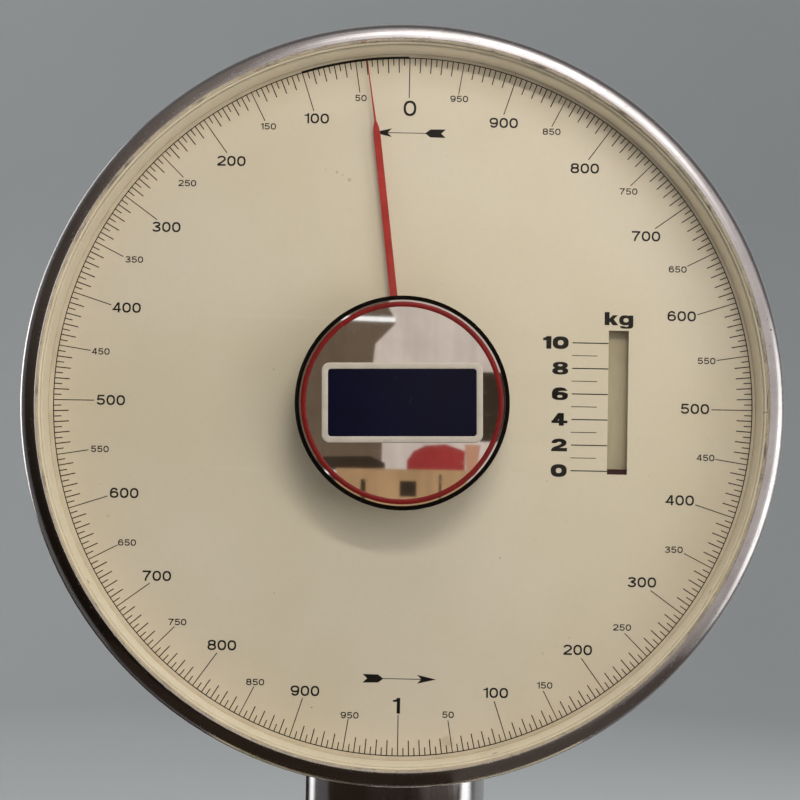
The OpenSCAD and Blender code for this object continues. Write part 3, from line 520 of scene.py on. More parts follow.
def foot_material():
    """Rubber pad below, plated collar and stud above."""
    k = Mat("m_foot")
    x, y, z = k.xyz()
    up = k.ramp01(z, 0.00695, 0.00705)
    gr = k.noise(500, 2, 0.5)
    tone = k.ramp01(k.noise(60, 3, 0.6), 0.3, 0.75)
    col = k.mix(up, k.mix(tone, (0.020, 0.019, 0.018), (0.034, 0.032, 0.030)), k.mix(tone, (0.60, 0.60, 0.62), (0.48, 0.48, 0.50)))
    thread = k.math("SINE", k.math("MULTIPLY", z, 6283.0))
    thread = k.math("MULTIPLY", thread, k.ramp01(z, 0.0121, 0.0123))
    h = k.math("ADD", k.math("MULTIPLY", gr, 0.15), k.math("MULTIPLY", thread, 0.8))
    k.set(color=col, metal=up, rough=k.lerp(up, 0.62, 0.27), normal=k.bump(h, 0.00012, 0.6, k.bevel(0.0004)))
    return k.m


m_foot = foot_material()


def vial_material():
    """Polished cup round a green spirit-filled disc."""
    k = Mat("m_vial")
    x, y, z = k.xyz()
    dx, dy = k.math("SUBTRACT", x, -0.118), k.math("SUBTRACT", y, 0.118)
    r = k.math("SQRT", k.math("ADD", k.math("MULTIPLY", dx, dx), k.math("MULTIPLY", dy, dy)))
    fluid = k.ramp01(r, 0.01196, 0.01193)
    tone = k.ramp01(k.noise(90, 3, 0.6), 0.3, 0.75)
    col = k.mix(fluid, k.mix(tone, (0.70, 0.69, 0.68), (0.58, 0.57, 0.57)), k.mix(tone, (0.30, 0.52, 0.05), (0.20, 0.40, 0.03)))
    k.set(color=col, metal=k.math("SUBTRACT", 1.0, fluid), rough=k.lerp(fluid, 0.16, 0.04), normal=k.bump(k.noise(400, 2, 0.5), 0.00001, 0.4))
    return k.m


m_vial = vial_material()


def knob_material():
    k = Mat("m_knob")
    tone = k.ramp01(k.noise(80, 3, 0.6), 0.3, 0.75)
    x, y, z = k.xyz()
    shaft = k.ramp01(x, 0.17555, 0.17545)
    col = k.mix(shaft, k.mix(tone, (0.016, 0.016, 0.016), (0.028, 0.027, 0.026)), k.mix(tone, (0.60, 0.60, 0.62), (0.50, 0.50, 0.52)))
    edge, rounded = k.edge(0.0004)
    col = k.mix(k.math("MULTIPLY", edge, 0.35), col, (0.16, 0.155, 0.15))
    k.set(color=col, metal=shaft, rough=k.lerp(tone, 0.30, 0.42), normal=k.bump(k.noise(700, 2, 0.5), 0.00003, 0.5, rounded))
    return k.m


m_knob = knob_material()

by_slot = {"cream_enamel": m_cream, "cream_dial": m_dial, "cream_seal": m_bead, "grey_paint": m_grey, "zinc_steel": m_zinc,
           "spring_steel": m_spring, "stainless": m_stainless, "polished_metal": m_polish, "mirror": m_hub, "brass": m_brass,
           "light_alloy": m_alloy, "glass": m_glass, "badge_enamel": m_badge, "red_paint": m_red, "white_plastic": m_white,
           "black_rubber": m_rubber, "black_plastic": m_black, "foot": m_foot}
by_node = {"front_dial": m_dial, "rear_dial": m_dial_rear, "front_surround": m_wall, "rear_surround": m_wall, "front_bezel": m_bezel,
           "rear_bezel": m_bezel, "flag_channels": m_channel, "kg_flags": m_flag, "level_vial": m_vial, "zero_knob": m_knob}
slot_of = {s["node"]: s["material_slot"] for s in frame["record"]["subparts"]}
for name, o in nodes.items():
    m = by_node.get(name) or by_slot[slot_of[name]]
    if not o.material_slots:
        o.data.materials.append(m)
    for s in o.material_slots:
        s.material = m


# ---------------------------------------------------------------- meshes
def make(name, verts, faces, mat, body, smooth=False, weld=None):
    """One piece from vertices in world metres. Normals point outwards on every closed part."""
    import bmesh
    me = bpy.data.meshes.new(name)
    me.from_pydata([tuple(v) for v in verts], [], [tuple(f) for f in faces])
    bm = bmesh.new()
    bm.from_mesh(me)
    if weld:
        bmesh.ops.remove_doubles(bm, verts=bm.verts, dist=weld)
    bmesh.ops.recalc_face_normals(bm, faces=bm.faces)
    bm.to_mesh(me)
    bm.free()
    me.materials.append(mat)
    if smooth:
        for p in me.polygons:
            p.use_smooth = True
    o = bpy.data.objects.new(name, me)
    bpy.context.scene.collection.objects.link(o)
    if body:
        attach(o, body)
    return o


def ccw(poly):
    a = sum(x0 * y1 - x1 * y0 for (x0, y0), (x1, y1) in zip(poly, poly[1:] + poly[:1]))
    return poly if a > 0 else poly[::-1]


def fill(layers):
    """Triangles of a flat shape painted in layers (+1 adds, -1 cuts): points, triangles, outline edges."""
    pts, faces = [], []
    for _, poly in layers:
        poly = ccw([tuple(p) for p in poly])
        n0 = len(pts)
        pts += [Vector(p) for p in poly]
        faces.append(list(range(n0, n0 + len(poly))))
    v, e, f, ov, oe, of = delaunay_2d_cdt(pts, [], faces, 1, 1e-7)
    keep = [list(t) for t, src in zip(f, of) if src and layers[max(src)][0] > 0]
    count = {}
    for t in keep:
        for a, b in zip(t, t[1:] + t[:1]):
            count[(a, b)] = count.get((a, b), 0) + 1
    rim = [(a, b) for (a, b) in count if (b, a) not in count]
    return [(p.x, p.y) for p in v], keep, rim


class Print:
    """Thin raised shapes on a face of the head, gathered into one mesh. side 1 is the front, -1 the rear."""

    def __init__(self, side, z0, z1):
        self.side, self.z0, self.z1 = side, z0, z1
        self.v, self.f = [], []

    def place(self, shape, cx=0.0, cy=0.0, k=1.0, turn=0.0, text=False, dz=0.0):
        pts, tris, rim = shape
        c, s = math.cos(turn), math.sin(turn)
        flip = -1.0 if (text and self.side < 0) else 1.0
        out = []
        for x, y in pts:
            x, y = x * k * flip, y * k
            out.append((cx + c * x - s * y, cy + s * x + c * y))
        used = sorted({i for t in tris for i in t})
        index = {i: n for n, i in enumerate(used)}
        n0, n = len(self.v), len(used)
        for z in (self.z1 + dz, self.z0):
            self.v += [W(out[i][0], out[i][1], self.side * z) for i in used]
        for t in tris:
            a = [index[i] + n0 for i in t]
            self.f.append(a)
            self.f.append([i + n for i in a[::-1]])
        for a, b in rim:
            a, b = index[a] + n0, index[b] + n0
            self.f.append([b, a, a + n, b + n])

    def bar(self, x0, y0, x1, y1, w, dz=0.0):
        """A straight line of width w."""
        dx, dy = x1 - x0, y1 - y0
        L = math.hypot(dx, dy)
        px, py = -dy / L * w / 2, dx / L * w / 2
        n0 = len(self.v)
        quad = [(x0 + px, y0 + py), (x0 - px, y0 - py), (x1 - px, y1 - py), (x1 + px, y1 + py)]
        for z in (self.z1 + dz, self.z0):
            self.v += [W(x, y, self.side * z) for x, y in quad]
        a = [n0, n0 + 1, n0 + 2, n0 + 3]
        self.f.append(a)
        self.f.append([i + 4 for i in a[::-1]])
        for i in range(4):
            j = (i + 1) % 4
            self.f.append([a[j], a[i], a[i] + 4, a[j] + 4])

    def arc(self, r0, r1, a0, a1, n, dz=0.0, at=(0.0, 0.0)):
        """Part of a flat ring, angles in degrees counter-clockwise from the top."""
        closed = abs(a1 - a0) > 359.9
        m = n if closed else n + 1
        n0 = len(self.v)
        for r, z in ((r0, self.z1 + dz), (r1, self.z1 + dz), (r1, self.z0), (r0, self.z0)):
            for i in range(m):
                t = math.radians(a0 + (a1 - a0) * i / n)
                self.v.append(W(at[0] - r * math.sin(t), at[1] + r * math.cos(t), self.side * z))
        for i in range(n):
            j = (i + 1) % m
            for q in range(4):
                p = (q + 1) % 4
                self.f.append([n0 + q * m + i, n0 + q * m + j, n0 + p * m + j, n0 + p * m + i])
        if not closed:
            for i in (0, m - 1):
                self.f.append([n0 + q * m + i for q in range(4)])

    def done(self, name, mat, body="case"):
        return make(name, self.v, self.f, mat, body)


# ---------------------------------------------------------------- numerals
def oval(cx, cy, rx, ry, n=44, p=2.35):
    out = []
    for i in range(n):
        t = 2 * math.pi * i / n
        c, s = math.cos(t), math.sin(t)
        out.append((cx + rx * math.copysign(abs(c) ** (2 / p), c), cy + ry * math.copysign(abs(s) ** (2 / p), s)))
    return out


def curve(cx, cy, rx, ry, a0, a1, n=22, p=2.2):
    out = []
    for i in range(n + 1):
        t = math.radians(a0 + (a1 - a0) * i / n)
        c, s = math.cos(t), math.sin(t)
        out.append((cx + rx * math.copysign(abs(c) ** (2 / p), c), cy + ry * math.copysign(abs(s) ** (2 / p), s)))
    return out


def stroke(pts, t):
    left, right = [], []
    n = len(pts)
    for i, (x, y) in enumerate(pts):
        ax, ay = pts[max(0, i - 1)]
        bx, by = pts[min(n - 1, i + 1)]
        if 0 < i < n - 1:
            u, v = (x - ax, y - ay), (bx - x, by - y)
            lu, lv = math.hypot(*u), math.hypot(*v)
            n1, n2 = (-u[1] / lu, u[0] / lu), (-v[1] / lv, v[0] / lv)
            mx, my = n1[0] + n2[0], n1[1] + n2[1]
            q = max(0.35, (mx * n1[0] + my * n1[1]))
            ox, oy = mx / q, my / q
        else:
            L = math.hypot(bx - ax, by - ay)
            ox, oy = -(by - ay) / L, (bx - ax) / L
        left.append((x + ox * t / 2, y + oy * t / 2))
        right.append((x - ox * t / 2, y - oy * t / 2))
    return left + right[::-1]


def ring(cx, cy, rx, ry, t):
    """Layers of an oval outline whose centre line has these radii."""
    return [(1, oval(cx, cy, rx + t / 2, ry + t / 2)), (-1, oval(cx, cy, rx - t / 2, ry - t / 2, p=2.2))]


def digit(ch, w, t):
    """Layers of one numeral of height 1 and width w, drawn with strokes of width t."""
    cx, a, h = w / 2, (w - t) / 2, t / 2
    if ch == "0":
        return ring(cx, 0.5, a, 0.5 - h, t)
    if ch == "1":
        return [(1, [(w, 0), (w, 1), (w - t * 0.85, 1), (w - t * 1.25, 0.90), (w - t * 1.9, 0.86), (0, 0.845), (0, 0.745), (w - t, 0.745), (w - t, 0)])]
    if ch == "2":
        top = curve(cx, 0.685, a, 0.315 - h, 172, -22)
        return [(1, stroke(top + [(cx + 0.10 * w, 0.40), (h * 1.15, 0.15), (h * 1.05, t * 0.75)], t)), (1, [(h * 0.1, 0), (w, 0), (w, t), (h * 0.1, t)])]
    if ch == "3":
        up = curve(cx, 0.755, a * 0.92, 0.245 - h, 168, -88)
        dn = curve(cx, 0.28, a, 0.28 - h, 88, -170)
        return [(1, stroke(up, t)), (1, stroke(dn, t)), (1, [(cx - 0.14 * w, 0.525 - h), (cx + 0.05, 0.525 - h), (cx + 0.05, 0.525 + h), (cx - 0.14 * w, 0.525 + h)])]
    if ch == "4":
        sx = w * 0.64
        return [(1, [(sx, 0), (sx + t, 0), (sx + t, 1), (sx, 1)]), (1, [(0, 0.22), (w, 0.22), (w, 0.22 + t * 0.9), (0, 0.22 + t * 0.9)]),
                (1, [(0, 0.24), (t * 1.15, 0.24), (sx + t * 0.9, 1), (sx - t * 0.25, 1)])]
    if ch == "5":
        bowl = curve(cx, 0.335, a, 0.335 - h, 140, -166)
        return [(1, stroke(bowl, t)), (1, [(w * 0.14, 1 - t * 0.95), (w * 0.93, 1 - t * 0.95), (w * 0.93, 1), (w * 0.14, 1)]),
                (1, [(w * 0.14, 1), (w * 0.05, 0.46), (w * 0.05 + t * 0.95, 0.46), (w * 0.14 + t, 1)])]
    if ch in "69":
        lay = ring(cx, 0.335, a, 0.335 - h, t)
        lay.append((1, stroke(curve(cx, 0.5, a, 0.5 - h, 196, 33, 24), t)))
        if ch == "9":
            lay = [(s, [(w - x, 1 - y) for x, y in p]) for s, p in lay]
        return lay
    if ch == "7":
        return [(1, [(0, 1 - t), (w, 1 - t), (w, 1), (0, 1)]),
                (1, stroke([(w - h * 1.05, 1 - t * 0.55), (w * 0.60, 0.56), (w * 0.40, 0.25), (w * 0.34, 0)], t))]
    m = 0.53
    top = ring(cx, (m + 1 - h) / 2, a * 0.90, (1 - h - m) / 2, t)
    bot = ring(cx, (m + h) / 2, a, (m - h) / 2, t)
    return top + bot


def heavy(ch):
    """Layers of one heavy wide numeral of height 1."""
    w = 1.26
    cx = w / 2
    if ch == "0":
        return [(1, oval(cx, 0.5, cx, 0.5, p=2.5)), (-1, oval(cx, 0.5, 0.225, 0.20, p=2.3))], w
    if ch == "8":
        return [(1, oval(cx, 0.735, cx * 0.93, 0.265, p=2.4)), (1, oval(cx, 0.285, cx, 0.285, p=2.4)),
                (-1, oval(cx, 0.735, 0.175, 0.075)), (-1, oval(cx, 0.275, 0.20, 0.085))], w
    if ch == "6":
        return [(1, oval(cx, 0.5, cx, 0.5, p=2.5)), (-1, [(cx * 0.8, 0.60), (w * 1.1, 0.52), (w * 1.1, 0.735), (cx * 1.25, 0.735), (cx * 0.85, 0.70)]),
                (1, oval(cx, 0.325, cx, 0.325, p=2.4)), (-1, oval(cx, 0.30, 0.20, 0.105))], w
    if ch == "4":
        return [(1, [(0, 0.20), (w, 0.20), (w, 0.41), (0, 0.41)]), (1, [(0.58, 0), (0.97, 0), (0.97, 1), (0.58, 1)]),
                (1, [(0, 0.30), (0.40, 0.30), (0.97, 1.0), (0.50, 1.0)])], w
    if ch == "2":
        return [(1, [(0.0, 0.0), (w, 0.0), (w, 0.27), (0.66, 0.27), (0.92, 0.37), (1.10, 0.46), (1.19, 0.56), (1.22, 0.68), (1.18, 0.80), (1.08, 0.90), (0.90, 0.975),
                     (0.65, 1.0), (0.40, 0.98), (0.20, 0.92), (0.08, 0.82), (0.03, 0.70), (0.03, 0.635), (0.42, 0.635), (0.46, 0.70), (0.54, 0.735), (0.64, 0.745),
                     (0.75, 0.73), (0.81, 0.68), (0.80, 0.61), (0.70, 0.53), (0.48, 0.44), (0.26, 0.36), (0.10, 0.27), (0.02, 0.16)])], w
    if ch == "1":
        w = 0.66
        return [(1, [(w - 0.40, 0), (w, 0), (w, 1), (w - 0.36, 1), (w - 0.44, 0.93), (w - 0.54, 0.885), (0, 0.865), (0, 0.67), (w - 0.40, 0.67)])], w
    if ch == "k":
        return [(1, [(0, 0), (0, 1.0), (0.37, 1.0), (0.37, 0.50), (0.62, 0.77), (1.02, 0.77), (0.69, 0.455), (1.06, 0), (0.62, 0), (0.43, 0.265), (0.37, 0.21), (0.37, 0)])], 1.06
    # g: one storey, with a flat hook below the line
    hook = [(0.73, 0.02), (1.09, 0.02), (1.08, -0.08), (1.03, -0.16), (0.92, -0.215), (0.74, -0.245), (0.52, -0.25), (0.28, -0.235), (0.12, -0.19), (0.07, -0.10),
            (0.07, -0.055), (0.43, -0.055), (0.47, -0.095), (0.56, -0.11), (0.66, -0.095), (0.72, -0.05)]
    return [(1, oval(0.47, 0.395, 0.47, 0.385, p=2.4)), (-1, oval(0.535, 0.40, 0.20, 0.16, p=2.3)), (1, [(0.73, -0.02), (1.09, -0.02), (1.09, 0.77), (0.73, 0.77)]), (1, hook)], 1.09


_cache = {}


def string_shape(text, w, t, gap, narrow):
    """One flat shape for a number, of height 1, centred on its own middle. Returns (shape, width)."""
    key = (text, w, t, gap, narrow)
    if key in _cache:
        return _cache[key]
    x, pts, tris, rim = 0.0, [], [], []
    for ch in text:
        cw = narrow if ch == "1" else w
        g = fill(digit(ch, cw, t))
        n0 = len(pts)
        pts += [(px + x, py - 0.5) for px, py in g[0]]
        tris += [[i + n0 for i in tr] for tr in g[1]]
        rim += [(a + n0, b + n0) for a, b in g[2]]
        x += cw + gap
    width = x - gap
    pts = [(px - width / 2, py) for px, py in pts]
    _cache[key] = ((pts, tris, rim), width)
    return _cache[key]


heavy_cache = {}


def heavy_shape(text, gap=0.10):
    if text in heavy_cache:
        return heavy_cache[text]
    x, pts, tris, rim = 0.0, [], [], []
    for ch in text:
        lay, cw = heavy(ch)
        g = fill(lay)
        n0 = len(pts)
        pts += [(px + x, py) for px, py in g[0]]
        tris += [[i + n0 for i in tr] for tr in g[1]]
        rim += [(a + n0, b + n0) for a, b in g[2]]
        x += cw + gap
    heavy_cache[text] = ((pts, tris, rim), x - gap)
    return heavy_cache[text]


# Where each numeral stands on the dial, by its place counter-clockwise from the top: the printer set each one clear of its mark by eye
NUMERAL_AT = {1: (-24.4, 158.8), 2: (-47.1, 147.7), 3: (-72.1, 143.1), 4: (-90.8, 124.7), 5: (-113.4, 112.7), 6: (-123.7, 89.7), 7: (-139.9, 72.5),
              8: (-143.2, 47.5), 9: (-156.0, 24.6), 10: (-150.2, -0.4), 11: (-155.2, -25.7), 12: (-142.1, -48.1), 13: (-140.0, -73.5), 14: (-124.3, -90.3),
              15: (-113.2, -113.7), 16: (-90.1, -125.1), 17: (-72.6, -143.6), 18: (-47.0, -147.6), 19: (-23.9, -159.6), 21: (26.5, -158.4), 22: (50.7, -146.8),
              23: (75.7, -142.5), 24: (92.4, -124.1), 25: (115.0, -112.2), 26: (124.8, -88.9), 27: (141.0, -71.9), 28: (143.7, -46.5), 29: (156.7, -24.4),
              30: (150.9, 0.7), 31: (156.6, 25.6), 32: (143.5, 48.5), 33: (141.1, 72.7), 34: (124.5, 89.6), 35: (115.1, 112.7), 36: (92.3, 124.3), 37: (74.8, 143.1),
              38: (49.9, 147.2), 39: (26.6, 159.3)}

SCALE_R = 180.0
INK = (DIAL_S - 0.02, DIAL_S + 0.035)
arrow_poly = [(0, 0), (9.8, 2.25), (7.75, 0.20), (27.3, 0.18), (29.8, 2.05), (37.8, 2.20), (35.4, 0.0), (37.8, -2.20), (29.8, -2.05), (27.3, -0.18), (7.75, -0.20), (9.8, -2.25)]


def dial_print(side):
    tag = "front" if side > 0 else "rear"
    # graduated circle
    p = Print(side, *INK)
    ox, oy = 0.35, 0.17                     # the printed circle sits this far off the plate's middle
    p.arc(SCALE_R - 0.25, SCALE_R + 0.25, 0, 360, 720, at=(ox, oy))
    for i in range(400):
        g = (i * 5) % 1000
        a = math.radians(i * 0.9)
        a += math.radians(0.12 - 0.16 * math.cos(a) + 0.10 * math.sin(a) - 0.07 * math.cos(2 * a))
        length, width = (20.9, 0.47) if g % 100 == 0 else (16.5, 0.45) if g % 50 == 0 else (7.8, 0.53) if g % 10 == 0 else (4.0, 0.51)
        x, y = -math.sin(a), math.cos(a)
        r0, r1 = SCALE_R - length, SCALE_R - 0.19
        p.bar(x * r0 + ox, y * r0 + oy, x * r1 + ox, y * r1 + oy, width, dz=0.003 if i % 2 else 0.006)
    p.arc(SCALE_R - 0.55, SCALE_R + 0.75, 0.0, 18.0, 48, dz=0.010, at=(ox, oy))
    p.done(f"{tag}_scale_marks", m_ink)
    # numerals, upright all round
    p = Print(side, *INK)
    for i in range(1, 40):
        if i == 20:
            continue
        g = (i * 50) % 1000
        big = g % 100 == 0
        h, t = (5.25, 0.172) if big else (3.30, 0.168)
        shape, width = string_shape(str(g), 0.84, t, 0.140, 0.47)
        x, y = NUMERAL_AT[i]
        p.place(shape, x, y, h, text=True)
    shape, width = string_shape("0", 0.82, 0.150, 0.1, 0.47)
    p.place(shape, 1.15, 153.9, 8.05, text=True)
    shape, width = string_shape("1", 0.82, 0.215, 0.1, 0.47)
    p.place(shape, 0.0, -154.3, 8.0, text=True)
    p.done(f"{tag}_numerals", m_ink)
    # arrows that show which way the pointer turns
    p = Print(side, *INK)
    arrow = fill([(1, arrow_poly)])
    p.place(arrow, -17.8, 141.0)
    p.place(arrow, 20.1, -140.6, turn=math.pi)
    p.done(f"{tag}_arrows", m_ink)
    # kilogram scale beside its slot
    p = Print(side, *INK)
    for kg in range(11):
        y = -32.3 + 6.597 * kg
        if kg % 2 == 0:
            p.bar(87.35, y, 105.95, y, 0.55)
            shape, width = heavy_shape(str(kg))
            k = 6.55
            p.place([[(px - width / 2, py - 0.5) for px, py in shape[0]], shape[1], shape[2]], 85.35 - width * k / 2, y - 0.05, k, text=True)
        else:
            p.bar(87.1, y, 100.35, y, 0.36)
    shape, width = heavy_shape("kg", 0.045)
    k = 6.75
    p.place([[(px - width / 2, py) for px, py in shape[0]], shape[1], shape[2]], 111.15, 43.15, k, text=True)
    p.done(f"{tag}_kilogram_scale", m_ink)


for side in (1, -1):
    dial_print(side)


# ---------------------------------------------------------------- hub dressing
def rounded_rect(w, h, r, n=8):
    out = []
    for cx, cy, a0 in ((w / 2 - r, h / 2 - r, 0), (-w / 2 + r, h / 2 - r, 90), (-w / 2 + r, -h / 2 + r, 180), (w / 2 - r, -h / 2 + r, 270)):
        for i in range(n + 1):
            t = math.radians(a0 + 90 * i / n)
            out.append((cx + r * math.cos(t), cy + r * math.sin(t)))
    return out


def ring_solid(profile, outlines, side, turn=0.0):
    """A closed frame: profile gives (inset, z) pairs and outlines maps an inset to its outline."""
    v, f = [], []
    m = None
    c, s = math.cos(turn), math.sin(turn)
    for inset, z in profile:
        line = outlines(inset)
        m = len(line)
        v += [W(side * (c * x - s * y), s * x + c * y, side * z) for x, y in line]
    k = len(profile)
    for q in range(k):
        p = (q + 1) % k
        for i in range(m):
            j = (i + 1) % m
            f.append([q * m + i, q * m + j, p * m + j, p * m + i])
    return v, f


BADGE_Z = 61.9
TURN = math.radians(1.1)
for side, tag in ((1, "front"), (-1, "rear")):
    # red ring printed on the mirror, a little raised and crowned
    prof = []
    for i in range(13):
        a = math.pi * i / 12
        prof.append((49.60 + 1.32 * math.cos(a), 60.56 + 0.05 * math.sin(a)))
    prof = [(50.92, 60.47)] + prof + [(48.28, 60.47)]
    v, f = ring_solid([(r, z) for r, z in prof], lambda r: [(r * math.cos(2 * math.pi * i / 160), r * math.sin(2 * math.pi * i / 160)) for i in range(160)], side)
    make(f"{tag}_hub_ring", v, f, m_ring, "case", smooth=True)
    # raised border round the badge, and the navy field inside it
    bw, bh = 80.7, 40.1
    prof = [(0.0, BADGE_Z - 0.2), (0.0, BADGE_Z + 0.20), (0.10, BADGE_Z + 0.38), (0.30, BADGE_Z + 0.50), (0.60, BADGE_Z + 0.55), (2.60, BADGE_Z + 0.55),
            (2.90, BADGE_Z + 0.50), (3.08, BADGE_Z + 0.38), (3.16, BADGE_Z + 0.20), (3.18, BADGE_Z - 0.2)]
    v, f = ring_solid(prof, lambda q: rounded_rect(bw - 2 * q, bh - 2 * q, max(1.6, 4.0 - q * 0.75)), side, TURN)
    make(f"{tag}_badge_border", v, f, m_badge, "case", smooth=True)
    pl = Print(side, BADGE_Z - 0.1, BADGE_Z + 0.12)
    pl.place(fill([(1, rounded_rect(bw - 6.3, bh - 6.3, 1.6))]), 0, 0, turn=side * TURN)
    pl.done(f"{tag}_badge_field", m_navy)

# ---------------------------------------------------------------- wound springs
def tube(path, r, sides=8):
    v, f = [], []
    P = np.array(path, float)
    T = np.gradient(P, axis=0)
    T /= np.linalg.norm(T, axis=1)[:, None]
    n = np.cross(T[0], [0.3, 0.2, 0.9])
    n /= np.linalg.norm(n)
    for i in range(len(P)):
        n = n - T[i] * (n @ T[i])
        n /= np.linalg.norm(n)
        b = np.cross(T[i], n)
        for k in range(sides):
            a = 2 * math.pi * k / sides
            v.append(tuple(P[i] + r * (math.cos(a) * n + math.sin(a) * b)))
    m = len(P)
    for i in range(m - 1):
        for k in range(sides):
            j = (k + 1) % sides
            f.append([i * sides + k, i * sides + j, (i + 1) * sides + j, (i + 1) * sides + k])
    f.append([k for k in range(sides)][::-1])
    f.append([(m - 1) * sides + k for k in range(sides)])
    return v, f


sv, sf = [], []
for sx in (-0.030, 0.030):
    path = [(sx, 0.121, 0.4105 + 0.0013 * i) for i in range(9)]
    z0, z1, turns, rc = 0.4265, 0.5375, 34, 0.0052
    steps = turns * 22
    for i in range(steps + 1):
        t = i / steps
        a = 2 * math.pi * turns * t
        grow = min(1.0, min(t, 1 - t) * 40)
        path.append((sx + rc * grow * math.cos(a), 0.121 + rc * grow * math.sin(a), z0 + (z1 - z0) * t))
    path += [(sx, 0.121, 0.5395 + 0.0013 * i) for i in range(11)]
    v, f = tube(path, 0.00075)
    n0 = len(sv)
    sv += v
    sf += [[i + n0 for i in q] for q in f]
coil = make("wound_springs", sv, sf, m_spring, None, smooth=True)
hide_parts("springs")
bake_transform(coil)

# ---------------------------------------------------------------- floor, light and camera
def stage_material(name, base, rough):
    k = Mat(name)
    tone = k.ramp01(k.noise(1.3, 3, 0.5), 0.3, 0.75)
    base = tuple(c * 0.93 for c in base)
    # painted light: the floor and backdrop are painted up to a fifth brighter towards -x, as if lit more from that side
    tone = k.math("ADD", k.math("MULTIPLY", tone, 0.15), k.math("MULTIPLY", k.ramp01(k.xyz()[0], 1.0, -1.0), 0.85))
    k.set(color=k.mix(tone, base, tuple(c * 1.20 for c in base)), rough=rough, spec=0.25, normal=k.bump(k.noise(260, 2, 0.5), 0.0001, 0.2))
    return k.m


def bowl():
    """A round floor that runs up into a wall on every side, in one sheet, so that every view has the same ground."""
    prof = [(0.0, 0.0), (0.6, 0.0), (1.4, 0.0), (2.45, 0.0)]
    for i in range(1, 21):
        a = math.radians(90 * i / 20)
        prof.append((2.45 + 1.0 * math.sin(a), 1.0 - 1.0 * math.cos(a)))
    prof.append((3.45, 4.4))
    n, m = 96, len(prof) - 1
    v = [(0.0, 0.0, 0.0)]
    for i in range(n):
        t = 2 * math.pi * i / n
        v += [(r * math.cos(t), r * math.sin(t), z) for r, z in prof[1:]]
    f = []
    for i in range(n):
        j = (i + 1) % n
        f.append([0, 1 + i * m, 1 + j * m])
        for q in range(m - 1):
            f.append([1 + i * m + q, 1 + i * m + q + 1, 1 + j * m + q + 1, 1 + j * m + q])
    o = make("studio_floor", v, f, stage_material("m_floor", (0.405, 0.420, 0.432), 0.75), None, smooth=True)
    o.visible_glossy = False


bowl()

# Surroundings: plain grey for soft light, and for polished metal a dim room with a pale wall to the upper right and three soft lamps
world = bpy.data.worlds.new("studio")
bpy.context.scene.world = world
world.use_nodes = True
wn = world.node_tree
wn.nodes.clear()


def wnode(kind, **props):
    n = wn.nodes.new(kind)
    for key, val in props.items():
        setattr(n, key, val)
    return n


def wput(sock, v):
    if hasattr(v, "is_output"):
        wn.links.new(v, sock)
    elif isinstance(v, tuple) and len(v) == 3 and len(sock.default_value) == 4:
        sock.default_value = (*v, 1.0)
    else:
        sock.default_value = v


def wmath(op, a, b=0.0):
    n = wnode("ShaderNodeMath", operation=op)
    wput(n.inputs[0], a)
    wput(n.inputs[1], b)
    return n.outputs[0]


def wramp(v, lo, hi):
    n = wnode("ShaderNodeMapRange", interpolation_type="SMOOTHSTEP")
    wput(n.inputs["Value"], v)
    n.inputs["From Min"].default_value, n.inputs["From Max"].default_value = min(lo, hi), max(lo, hi)
    n.inputs["To Min"].default_value, n.inputs["To Max"].default_value = (0.0, 1.0) if lo < hi else (1.0, 0.0)
    return n.outputs[0]


def wmix(f, a, b, mode="MIX"):
    n = wnode("ShaderNodeMix", data_type="RGBA", blend_type=mode)
    wput(n.inputs["Factor"], f)
    wput(n.inputs[6], a)
    wput(n.inputs[7], b)
    return n.outputs[2]


def wlobe(theta, phi, inner, outer):
    """1 inside a soft round patch of the surroundings: theta clockwise from the top, phi from straight ahead of the dial."""
    t, q = math.radians(theta), math.radians(phi)
    c = (math.sin(q) * math.sin(t), -math.cos(q), math.sin(q) * math.cos(t))
    n = wnode("ShaderNodeVectorMath", operation="DOT_PRODUCT")
    wput(n.inputs[0], wdir)
    n.inputs[1].default_value = c
    return wramp(n.outputs["Value"], math.cos(math.radians(outer)), math.cos(math.radians(inner)))


wdir = wnode("ShaderNodeTexCoord").outputs["Generated"]
wsep = wnode("ShaderNodeSeparateXYZ")
wput(wsep.inputs[0], wdir)
wx, wy, wz = wsep.outputs
wfront = wmath("MULTIPLY", wy, -1.0)
side_sum = wmath("ADD", wx, wz)
slant = wmath("SQRT", wmath("ADD", wmath("MULTIPLY", wx, wx), wmath("MULTIPLY", wz, wz)))
turn = wmath("DIVIDE", wmath("ADD", wmath("MULTIPLY", wx, 0.788), wmath("MULTIPLY", wz, 0.616)), wmath("MAXIMUM", slant, 0.02))
room = wmix(wramp(turn, -1.0, -0.45), (0.009, 0.006, 0.004), (0.058, 0.046, 0.038))
room = wmix(wramp(turn, -0.45, 0.12), room, (0.170, 0.142, 0.125))
room = wmix(wramp(turn, 0.12, 0.62), room, (0.56, 0.520, 0.505))
room = wmix(wramp(wfront, 0.35, 0.10), room, (0.115, 0.110, 0.110))
behind = wmix(wramp(side_sum, -0.55, 0.15), (0.022, 0.018, 0.016), (0.330, 0.335, 0.340))
room = wmix(wramp(wfront, -0.25, -0.62), room, behind)
room = wmix(wlobe(20, 42, 14, 25), room, (1.80, 1.74, 1.70))
room = wmix(wlobe(12, 17, 4, 12), room, (1.30, 1.25, 1.22))
room = wmix(wlobe(98, 80, 13, 28), room, (1.60, 1.60, 1.58))
room = wmix(wlobe(274, 128, 10, 18), room, (2.00, 1.98, 1.98))
room = wmix(wlobe(300, 118, 8, 16), room, (1.10, 1.10, 1.12))
wo = wnode("ShaderNodeOutputWorld")
even = wnode("ShaderNodeBackground")
even.inputs[0].default_value = (1.02, 0.965, 0.80, 1.0)
even.inputs[1].default_value = 0.195
seen = wnode("ShaderNodeBackground")
wput(seen.inputs[0], room)
path = wnode("ShaderNodeLightPath")
wsh = wnode("ShaderNodeMixShader")
